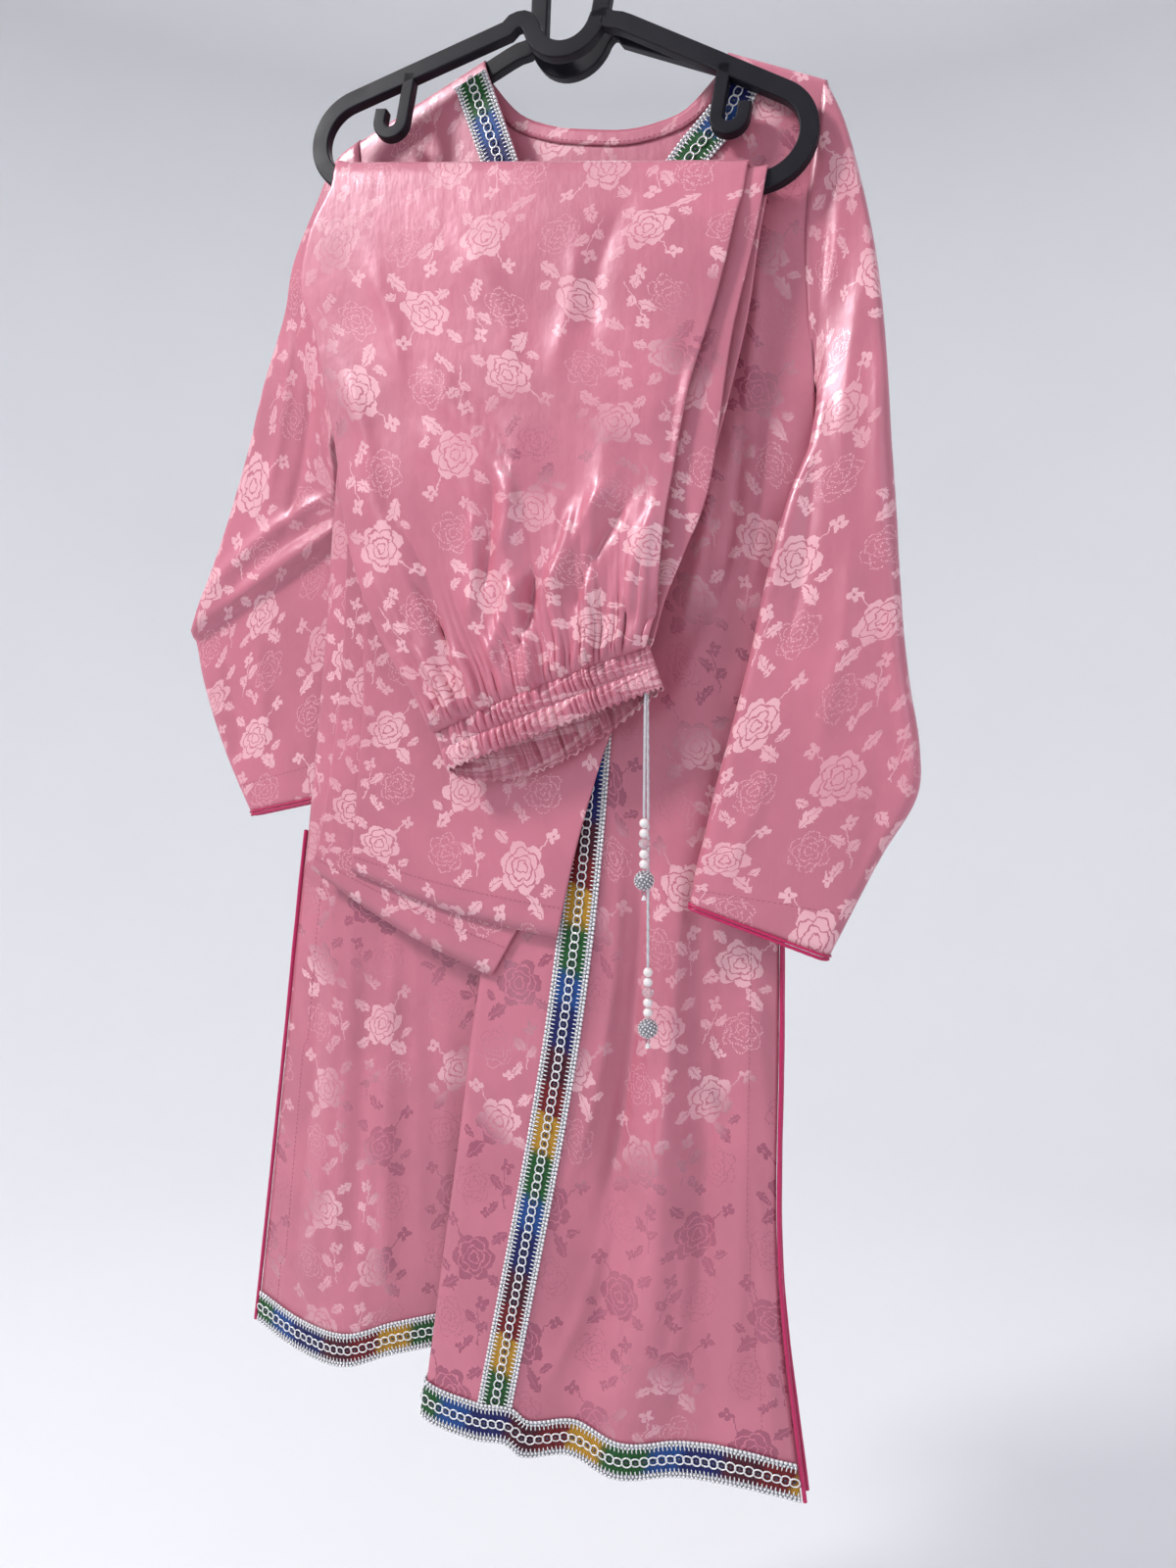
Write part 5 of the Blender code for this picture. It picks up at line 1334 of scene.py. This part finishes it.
def laid_grid(inner, outer, grid, lift, across=5):
    """Points of a strip lying on a panel, one row for each place along it."""
    rows = []
    for a, b in zip(inner, outer):
        row = []
        for k in range(across):
            p = a.lerp(b, k / (across - 1))
            z = min(p.y, shoulder_height(p.x) - WRAP_DROP - STRIP_STOP)
            row.append((p.x, panel_depth(grid, p.x, z) + lift, z))
        rows.append(row)
    return np.array(rows)


GRAIN = prototype(bpy.ops.mesh.primitive_uv_sphere_add, segments=6, ring_count=4, radius=1.0)
RING = prototype(bpy.ops.mesh.primitive_torus_add, major_segments=14, minor_segments=6,
                 major_radius=0.0031, minor_radius=0.00055, scale_to=(1.12, 1.0, 1.0))


def grains(size):
    return GRAIN[0] * np.array(size), GRAIN[1]


def braid(name, node, grid, shift, repeat=BRAID_REPEAT, skip=None, step=0.0):
    """A length of braid: its coloured ground, silver borders, teeth, and a chain down the middle.
    grid has a row across the braid for each place along it."""
    across = np.swapaxes(grid, 0, 1)
    ground = cloth_sheet(name + "_ground", across, BRAID_CLOTH)
    finish_with(ground, braid_ground(name + "_threads", repeat, shift, step))
    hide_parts(node)
    normals = grid_normals(grid, -1)
    lift = BRAID_LIFT
    width = grid.shape[1] - 1

    def at(share):
        low = min(int(share * width), width - 1)
        t = share * width - low
        return (grid[:, low] * (1 - t) + grid[:, low + 1] * t,
                normals[:, low] * (1 - t) + normals[:, low + 1] * t)

    parts = []
    for label, shares, size, pitch in (
            ("edge", (0.028, 0.972), (0.00145, 0.00130, 0.00095), 0.0031),
            ("border", (0.112, 0.888), (0.00105, 0.00105, 0.00090), 0.0026),
            ("teeth", (0.195, 0.805), (0.00055, 0.00190, 0.00050), 0.0031)):
        sets = [frames_along(*at(share), pitch) for share in shares]
        if skip:
            sets = [tuple(part[skip(s[0])] for part in s) for s in sets]
        frames = moved_frames(joined_frames(*sets), lift=lift)
        parts.append(array_of(name + "_" + label, grains(size), frames, SILVER))
    centre = frames_along(*at(0.5), 0.0062)
    if skip:
        centre = tuple(part[skip(centre[0])] for part in centre)
    origin, first, second, third = moved_frames(centre, lift=lift + 0.0002)
    tilt = np.where(np.arange(len(origin)) % 2 == 0, 0.16, -0.16)[:, None]
    tilted = (origin, first, normalised(second + third * tilt), normalised(third - second * tilt))
    parts.append(array_of(name + "_chain", RING, tilted, SILVER))
    parts.append(array_of(name + "_chain_beads", grains((0.0012, 0.0012, 0.0009)),
                          moved_frames(centre, lift=lift), CHAIN_BEAD))
    return [ground, *parts]


LIFT = (PANEL_WALL + TRIM_WALL) / 2 + SEAM_GAP + 0.0001
point = Vector(FRONT_NECK[NECK_POINT])
foot = point - Vector((0.0, MITRE_DROP))
braids = []
for name, edge, turn, shift in (
        ("left", smooth_line(FRONT_NECK[1:NECK_POINT + 1], 0.006), 1, 0.18),
        ("right", smooth_line(tuple(reversed(FRONT_NECK[NECK_POINT:-1])), 0.006), -1, 0.64)):
    inner = beside(edge, turn * SEAM_GAP)
    outer = beside(edge, turn * TRIM_WIDTH)
    inner[-1] = point + Vector((-turn * SEAM_GAP, 0.0))
    last_inner = inner[-1]
    last_outer = outer[-1]
    for k in range(1, 8):
        inner.append(last_inner.lerp(foot + Vector((-turn * SEAM_GAP, 0.0)), k / 7))
        outer.append(last_outer.lerp(foot + Vector((-turn * TRIM_WIDTH / 2, 0.0)), k / 7))
    grid = laid_grid(inner, outer, front_grid, -LIFT - SEAM_GAP, 7)
    braids += braid("neck_braid_" + name, "neck_trim_" + name, grid, shift, BRAID_REPEAT * turn)

front_normal = grid_normals(front_grid, -1)
lifted = front_grid + front_normal * LIFT
hem_grid = np.swapaxes(lifted[-7:], 0, 1)


def hem_seen(origin):
    """Leave out the places deep inside the pleat, where the cloth lies on itself."""
    return ~((origin[:, 0] > -0.112) & (origin[:, 0] < -0.080) & (origin[:, 1] > -0.0245))


braids += braid("hem_braid", "hem_trim", hem_grid, 0.25, skip=hem_seen, step=0.317)
strip = lifted[:-6, CENTRE_LEFT:CENTRE_RIGHT + 1]
strip = strip[strip[:, 0, 2] < foot.y - SEAM_GAP]
strip[-1] = strip[-1] * 0.95 + strip[-2] * 0.05
braids += braid("centre_braid", "centre_front_trim", strip, 0.066)

neck_line = [Vector(p) for p in back_neck_line]
facing_lift = -(PANEL_WALL + FACING_WALL) / 2 - SEAM_GAP
facing_grid = laid_grid(beside(neck_line, SEAM_GAP), beside(neck_line, FACING_WIDTH), back_grid,
                        facing_lift)
facing = cloth_sheet("neck_facing_cloth", np.swapaxes(facing_grid, 0, 1), 0.0005)
finish_with(facing, LEG_SATIN)
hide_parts("neck_facing")


# Stitching

def stitches(name, line, normals, length=0.0026, gap=0.0011, lift=0.0004):
    frames = moved_frames(frames_along(line, normals, length + gap), lift=lift)
    return array_of(name, grains((length / 2, 0.00022, 0.00018)), frames, STITCH)


slit_first = 6 + int(np.searchsorted(BODY_LEVELS, SLIT_TOP))
back_normal = grid_normals(back_grid, 1)
for panel, grid, normal in (("front", front_grid, front_normal), ("back", back_grid, back_normal)):
    for label, column, step in (("left", 0, 1), ("right", grid.shape[1] - 1, -1)):
        line = []
        facing_way = []
        for row in range(slit_first, grid.shape[0] - 1):
            run = np.concatenate(([0.0], np.cumsum(np.linalg.norm(
                np.diff(grid[row, column::step], axis=0), axis=1))))
            place = int(np.searchsorted(run, SLIT_HEM))
            line.append(grid[row, column + step * place])
            facing_way.append(normal[row, column + step * place])
        stitches("slit_stitching_%s_%s" % (label, panel), line, facing_way)
facing_normals = np.tile(np.array((0.0, -1.0, 0.0)), (len(facing_grid), 1))
stitches("neck_stitching", facing_grid[:, 3], facing_normals)


# Sleeves

def armhole_x(edge, hem_z, z):
    top = shoulder_height(edge["shoulder"])
    level = min(max((z - top) / (hem_z - top), 0.0), LEVEL["underarm"])
    return edge_at(edge, level) + (ARMHOLE_EASE if edge["shoulder"] > 0 else -ARMHOLE_EASE)


def flat_tube_places(length, half, count=36):
    """Round a flattened tube: distance from its inner edge and depth, for each point."""
    ends = [half * (1 - math.cos(math.radians(a))) for a in (22.5, 45, 67.5)]
    deep = [math.sin(math.radians(a)) for a in (22.5, 45, 67.5)]
    side = list(zip(ends, deep))
    side += [(half + (length - 2 * half) * i / count, 1.0) for i in range(count + 1)]
    side += [(length - far, depth) for far, depth in reversed(list(zip(ends, deep)))]
    return [(0.0, 0.0), *side, (length, 0.0), *[(at, -depth) for at, depth in reversed(side)],
            (0.0, 0.0)]


def sleeve_grid(table, edge, hem_z):
    rings = []
    for number, (outer_x, outer_z, inner_x, inner_z, outer_y, inner_y, half) in enumerate(table):
        inner = Vector((inner_x, inner_y, inner_z))
        outer = Vector((outer_x, outer_y, outer_z))
        length = (outer - inner).length
        share = ARMHOLE_SHARE[number] if number < len(ARMHOLE_SHARE) else 0.0
        ring = []
        for at, depth in flat_tube_places(length, half):
            place = inner.lerp(outer, at / length)
            first = Vector(table[0][:2]).lerp(Vector(table[0][2:4]), 1 - at / length)
            place.x += share * (armhole_x(edge, hem_z, first.y) - first.x)
            place.y -= half * depth
            ring.append(place)
        rings.append(ring)
    return finer_rows(np.array([[p[:] for p in ring] for ring in rings]), 0.0055)


RIGHT_SLEEVE_CREASES = (
    (0.180, -0.195, 0.160, -0.315, 6, 6, 2.2), (0.170, -0.225, 0.145, -0.385, 8, 5, -2.4),
    (0.195, -0.275, 0.185, -0.425, -4, 8, 2.0), (0.155, -0.365, 0.130, -0.505, 6, 6, 2.8),
    (0.165, -0.385, 0.150, -0.515, 5, 5, -2.6), (0.210, -0.320, 0.210, -0.460, -4, 7, 2.0),
    (0.190, -0.455, 0.170, -0.585, 5, 7, 2.4), (0.210, -0.485, 0.225, -0.595, -5, 8, -2.2),
    (0.140, -0.590, 0.110, -0.665, 4, 6, 2.0), (0.210, -0.590, 0.190, -0.680, 5, 7, -1.8),
)
LEFT_SLEEVE_CREASES = (
    (-0.215, -0.380, -0.350, -0.465, -10, 5, 3.4), (-0.220, -0.400, -0.325, -0.460, -6, 5, -3.0),
    (-0.255, -0.245, -0.280, -0.380, 6, 6, 2.4), (-0.235, -0.280, -0.265, -0.410, 5, 5, -2.4),
    (-0.310, -0.440, -0.230, -0.400, 5, 6, -2.0), (-0.295, -0.485, -0.290, -0.585, 3, 7, 2.0),
    (-0.330, -0.500, -0.315, -0.600, 3, 6, -1.8), (-0.230, -0.190, -0.210, -0.320, 4, 6, -1.6),
)


def sleeve(side, table, edge, hem_z, creases):
    grid = sleeve_grid(table, edge, hem_z)
    around = np.concatenate((grid[:, -2:-1], grid, grid[:, 1:2]), axis=1)
    normals = normalised(np.cross(np.gradient(around, axis=0), np.gradient(around, axis=1)))[:, 1:-1]
    middle = grid[:, :-1].mean(axis=1, keepdims=True)
    if ((grid - middle) * normals).sum() < 0:
        normals = -normals
    front = np.clip(-normals[..., 1], 0, 1)
    grid = creased(grid, normals, creases, front)
    mirrored = [(x0 + 0.006, z0 - 0.012, x1 + 0.004, z1 - 0.012, -b, w, h) for x0, z0, x1, z1, b, w, h
                in creases]
    grid = creased(grid, normals, mirrored, np.clip(normals[..., 1], 0, 1))
    cloth = cloth_sheet("sleeve_%s_cloth" % side, grid, CLOTH, closed=True, facing=1,
                        turn_at=grid.shape[1] // 2)
    finish_with(cloth, SLEEVE_SATIN)
    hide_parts("sleeve_" + side)
    ring = grid[-1]
    along = normalised(grid[-1, 0] - grid[-1, len(ring) // 2])
    down = np.array((along[2], 0.0, -along[0]))
    if down[2] > 0:
        down = -down
    pieces = []
    for number, radius in enumerate((CUFF_PIPING_RADIUS, CUFF_PIPING_RADIUS * 0.75)):
        off = CUFF_PIPING_RADIUS + SEAM_GAP if number == 0 else -0.0010
        line = ring + down * off
        if number:
            line = line + normals[-1] * 0.0008
        piping = tube("cuff_piping_%s_%d" % (side, number + 1), line[:-1], radius, 12, closed=True,
                      strands=2, twist=900.0, depth=0.12)
        finish_with(piping, MAGENTA)
        pieces.append(piping)
    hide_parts("cuff_piping_" + side)
    rows_up = int(np.argmin(np.abs(lengths_along(grid[::-1], 0).mean(axis=1) - CUFF_HEM)))
    row = grid.shape[0] - 1 - rows_up
    pieces.append(stitches("cuff_stitching_" + side, grid[row], normals[row]))
    return cloth, pieces


right_sleeve, right_cuff = sleeve("right", RIGHT_SLEEVE, RIGHT_EDGE, FRONT_LINES[-1][-2],
                                  RIGHT_SLEEVE_CREASES)
left_sleeve, left_cuff = sleeve("left", LEFT_SLEEVE, LEFT_EDGE, FRONT_LINES[0][-2],
                                LEFT_SLEEVE_CREASES)


# Piping down the slits

for panel, grid in (("front", front_grid), ("back", back_grid)):
    for label, column, outwards in (("left", 0, -1), ("right", -1, 1)):
        line = grid[slit_first:, column].copy()
        line[:, 0] += outwards * (PIPING_RADIUS + PANEL_WALL / 2 + SEAM_GAP)
        piping = tube("slit_piping_%s_%s_satin" % (label, panel), line, PIPING_RADIUS, 12, strands=2,
                      twist=700.0, depth=0.10)
        finish_with(piping, MAGENTA)
        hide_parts("slit_piping_%s_%s" % (label, panel))


# Trousers

def bar_centre(x):
    over = max(abs(x) - END_CENTRE[0], 0.0)
    return FRONT_PLACE @ Vector((x, END_CENTRE[1] - math.sqrt(END_RADIUS ** 2 - over ** 2), 0.0))


def flap_rows(table, columns, last_sag=0.0):
    t = np.linspace(0, 1, columns + 1)[:, None]
    rows = []
    for number, (left_x, left_z, right_x, right_z, left_y, right_y) in enumerate(table):
        left = np.array((left_x, left_y, left_z))
        right = np.array((right_x, right_y, right_z))
        row = left * (1 - t) + right * t
        if number == len(table) - 1:
            row[:, 2] -= last_sag * np.sin(math.pi * t[:, 0])
        rows.append(row)
    return rows


def bar_rows(span, layers, columns):
    out = layers * (LEG_LAYERS + SEAM_GAP + 0.0006) - LEG_LAYERS / 2
    turn = FRONT_PLACE.to_3x3()
    rows = []
    for deep, up in BAR_WRAP:
        offset = turn @ Vector((0.0, up * (HANGER_WIDE / 2 + out), deep * (HANGER_DEEP / 2 + out)))
        rows.append(np.array([(bar_centre(span[0] + (span[1] - span[0]) * i / columns) + offset)[:]
                              for i in range(columns + 1)]))
    return rows


# Folds fanning up from the band: place across (0 left, 1 right), lean to the left as it rises,
# reach up, width and height in millimetres
BAND_FOLDS = (
    (0.03, -4, 90, 3.0, 2.0), (0.09, -14, 70, 2.6, 1.6), (0.15, -20, 150, 4.0, 4.2),
    (0.21, -16, 60, 2.4, 1.4), (0.26, -18, 210, 4.8, 5.0), (0.33, -10, 70, 2.6, 1.6),
    (0.38, -8, 120, 4.0, 2.6), (0.45, -4, 60, 2.4, 1.5), (0.50, 2, 190, 4.8, 4.8),
    (0.57, 4, 70, 2.4, 1.6), (0.62, 8, 130, 3.8, 2.6), (0.68, 8, 60, 2.4, 1.4),
    (0.74, 12, 170, 4.2, 4.2), (0.81, 10, 70, 2.4, 1.6), (0.87, 10, 110, 3.4, 2.2),
    (0.94, 8, 140, 3.2, 2.0),
)
LEG_CREASES = (
    (-0.105, -0.320, -0.030, -0.425, 8, 5, 2.4), (-0.090, -0.325, -0.025, -0.420, 8, 4, -2.4),
    (0.040, -0.400, -0.005, -0.490, -6, 6, 3.4), (0.050, -0.415, 0.010, -0.495, -5, 4, -3.0),
    (-0.035, -0.385, -0.045, -0.455, 4, 5, 2.8), (-0.050, -0.390, -0.060, -0.480, 4, 5, -3.2),
    (-0.155, -0.395, -0.090, -0.535, 10, 6, 3.0), (-0.140, -0.395, -0.080, -0.530, 10, 5, -3.2),
    (0.065, -0.425, 0.050, -0.500, -4, 5, 3.0), (-0.020, -0.460, -0.050, -0.530, -5, 5, 3.0),
    (-0.110, -0.465, -0.075, -0.525, 3, 4, -4.6), (-0.020, -0.460, -0.030, -0.520, 3, 3.5, -4.6),
    (0.075, -0.460, 0.060, -0.500, 3, 3.5, -3.6), (0.010, -0.420, -0.010, -0.480, 3, 4, 3.2),
    (-0.165, -0.315, -0.140, -0.405, 5, 7, 2.4), (0.085, -0.320, 0.075, -0.425, -4, 7, -2.2),
    (-0.080, -0.230, -0.035, -0.320, 9, 9, 2.2), (0.040, -0.225, 0.020, -0.305, -7, 9, -2.0),
    (-0.065, -0.415, -0.065, -0.500, 3, 5, 3.4), (-0.150, -0.230, -0.120, -0.330, 6, 8, 1.8),
    (0.010, -0.240, -0.010, -0.330, 5, 8, 1.6), (-0.110, -0.360, -0.060, -0.420, 5, 6, 2.0),
)


def leg_ring(grid, full, half):
    """Points all round a flattened leg: its outer layer, one side, its inner layer, the other."""
    side = normalised(np.gradient(grid, axis=1))
    turn = [math.radians(a) for a in (60, 30, 0, -30, -60)]
    right = [grid[:, -1:] + (full[:, -1:] * math.sin(a) + side[:, -1:] * math.cos(a)) * half for a in turn]
    left = [grid[:, :1] - (full[:, :1] * math.sin(a) + side[:, :1] * math.cos(a)) * half for a in turn]
    return np.concatenate((grid + full * half, *right, (grid - full * half)[:, ::-1], *left,
                           (grid + full * half)[:, :1]), axis=1)


def leg(name, node, rows, spacing, gathers):
    """Two cloth layers as a flattened tube along the leg, open at both ends."""
    grid = finer_rows(np.array(rows), spacing, BAND_ROW_STEP, 5 if gathers else 0)
    normals = grid_normals(grid[:20], -1)
    full = normalised(np.cross(np.gradient(grid, axis=0), np.gradient(grid, axis=1)))
    if (full[:20] * normals).sum() < 0:
        full = -full
    smooth_grid = grid
    smooth_full = full
    run = lengths_along(grid, 0)
    span = run[:, :1] * 0 + np.linspace(0, 1, grid.shape[1])[None, :]
    if gathers:
        moved = np.zeros(grid.shape[:2])
        for across, lean, reach, width, height in BAND_FOLDS:
            centre = across + lean / 1000 / 0.17 * np.clip(run / (reach / 1000), 0, 1.3)
            wide = 0.85 * width / 1000 * (1 + run / 0.05 * 0.55) / 0.19
            fade = np.clip(1 - run / (reach / 1000), 0, 1) ** 0.8
            rise = np.clip((run - 0.002) / 0.008, 0, 1)
            moved += 2.3 * height / 1000 * fade * rise * np.exp(-np.abs((span - centre) / wide) ** 1.5)
        uneven = span + 0.010 * np.sin(span * 23) + 0.006 * np.sin(span * 57 + 1)
        sharp = np.abs(np.sin(uneven * math.pi * FRONT_GATHERS)) ** 0.55
        deep = 0.8 + 0.4 * np.sin(span * 41 + 2)
        moved += 0.0064 * (sharp - 0.55) * deep * np.exp(-run / 0.034) * rise
        first_part = np.clip((0.40 - run) / 0.05, 0, 1)
        grid = grid + full * (moved * first_part)[..., None]
        grid = creased(grid, full, LEG_CREASES, 1.35 * first_part)
        full = normalised(np.cross(np.gradient(grid, axis=0), np.gradient(grid, axis=1)))
        if (full[:20] * normals).sum() < 0:
            full = -full
    half = LEG_LAYERS / 2 - 0.0003
    cloth = cloth_sheet(name, leg_ring(grid, full, half), 0.0005, closed=True, facing=-1,
                        flat_grid=leg_ring(smooth_grid, smooth_full, half),
                        turn_at=grid.shape[1] + 2)
    finish_with(cloth, LEG_SATIN)
    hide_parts(node)
    hem = grid.shape[0] - 1 - int(np.argmin(np.abs(lengths_along(grid[::-1], 0).mean(axis=1) - TROUSER_HEM)))
    seam = stitches(name.replace("cloth", "hem_stitching"), grid[hem] - full[hem] * (half + 0.0004),
                    -full[hem])
    return cloth, seam


outer_rows = [*flap_rows(OUTER_FRONT, 170), *bar_rows(OUTER_BAR_SPAN, 2, 170),
              *flap_rows(OUTER_BACK, 170, HEM_SAG)]
inner_rows = [*flap_rows(INNER_FRONT, 60), *bar_rows(INNER_BAR_SPAN, 1, 60),
              *flap_rows(INNER_BACK, 60, HEM_SAG)]
outer_leg, outer_hem = leg("outer_leg_cloth", "shalwar_outer_leg", outer_rows, LEG_ROW_STEP, True)
inner_leg, inner_hem = leg("inner_leg_cloth", "shalwar_inner_leg", inner_rows, LEG_ROW_STEP, False)


def waistband():
    """Two ruched channels round the band, with a row of stitches between them."""
    left = np.array(BAND_LEFT)
    right = np.array(BAND_RIGHT)
    along = normalised(right - left)
    down = np.array((along[2], 0.0, -along[0]))
    steps = 10
    rows = np.linspace(0, 1, 29)
    rng = np.random.default_rng(7)
    grid = []
    turns = []
    for half, gathers in ((-1, FRONT_GATHERS), (1, REAR_GATHERS)):
        starts = np.cumsum(rng.uniform(0.6, 1.4, gathers))
        starts = starts / starts[-1]
        depth = rng.uniform(0.6, 1.35, gathers)
        slant = rng.uniform(-0.5, 0.5, gathers)
        low = np.concatenate(([0.0], starts[:-1]))
        for number in range(gathers):
            for k in range(steps):
                turns.append((half, low[number], starts[number], k / steps, depth[number],
                              slant[number]))
    for place in rows:
        channel = abs(math.sin(math.pi * 2 * place)) ** 0.6
        ring = []
        for half, start, end, t, deep, slant in turns:
            t_slanted = (t + slant * (place - 0.5)) % 1.0
            across = start + (end - start) * t
            at = across if half < 0 else 1 - across
            bow = max(math.sin(math.pi * at), 0.0) ** 0.35
            pucker = abs(math.sin(math.pi * t_slanted)) ** 0.6
            puff = 0.0046 * channel * pucker * deep
            puff += 0.0006 * (1 - channel) * pucker
            out = half * (BAND_HALF_DEPTH - 0.0008 + puff) * bow
            drop = BAND_REAR_DROP * place * math.sin(math.pi * at ** 0.7) if half > 0 else 0.0
            wave = 0.0011 * math.sin(math.pi * 2 * t) * (1.0 if place in (rows[0], rows[-1]) else 0.3)
            spot = left + (right - left) * at + down * (BAND_HEIGHT * (place - 0.5) + drop + wave)
            spot[1] += out
            ring.append(spot)
        ring.append(ring[0])
        grid.append(ring)
    grid = np.array(grid)
    band = cloth_sheet("waistband_cloth", grid, 0.0006, closed=True, facing=-1)
    finish_with(band, LEG_SATIN)
    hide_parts("shalwar_waistband")
    middle = grid[len(rows) // 2]
    outwards = normalised(middle - middle.mean(axis=0)) * np.array((0.2, 1, 0.2))
    sewing = stitches("waistband_stitching", middle, normalised(outwards), 0.0020, 0.0008, 0.0003)
    return band, sewing


band, band_sewing = waistband()
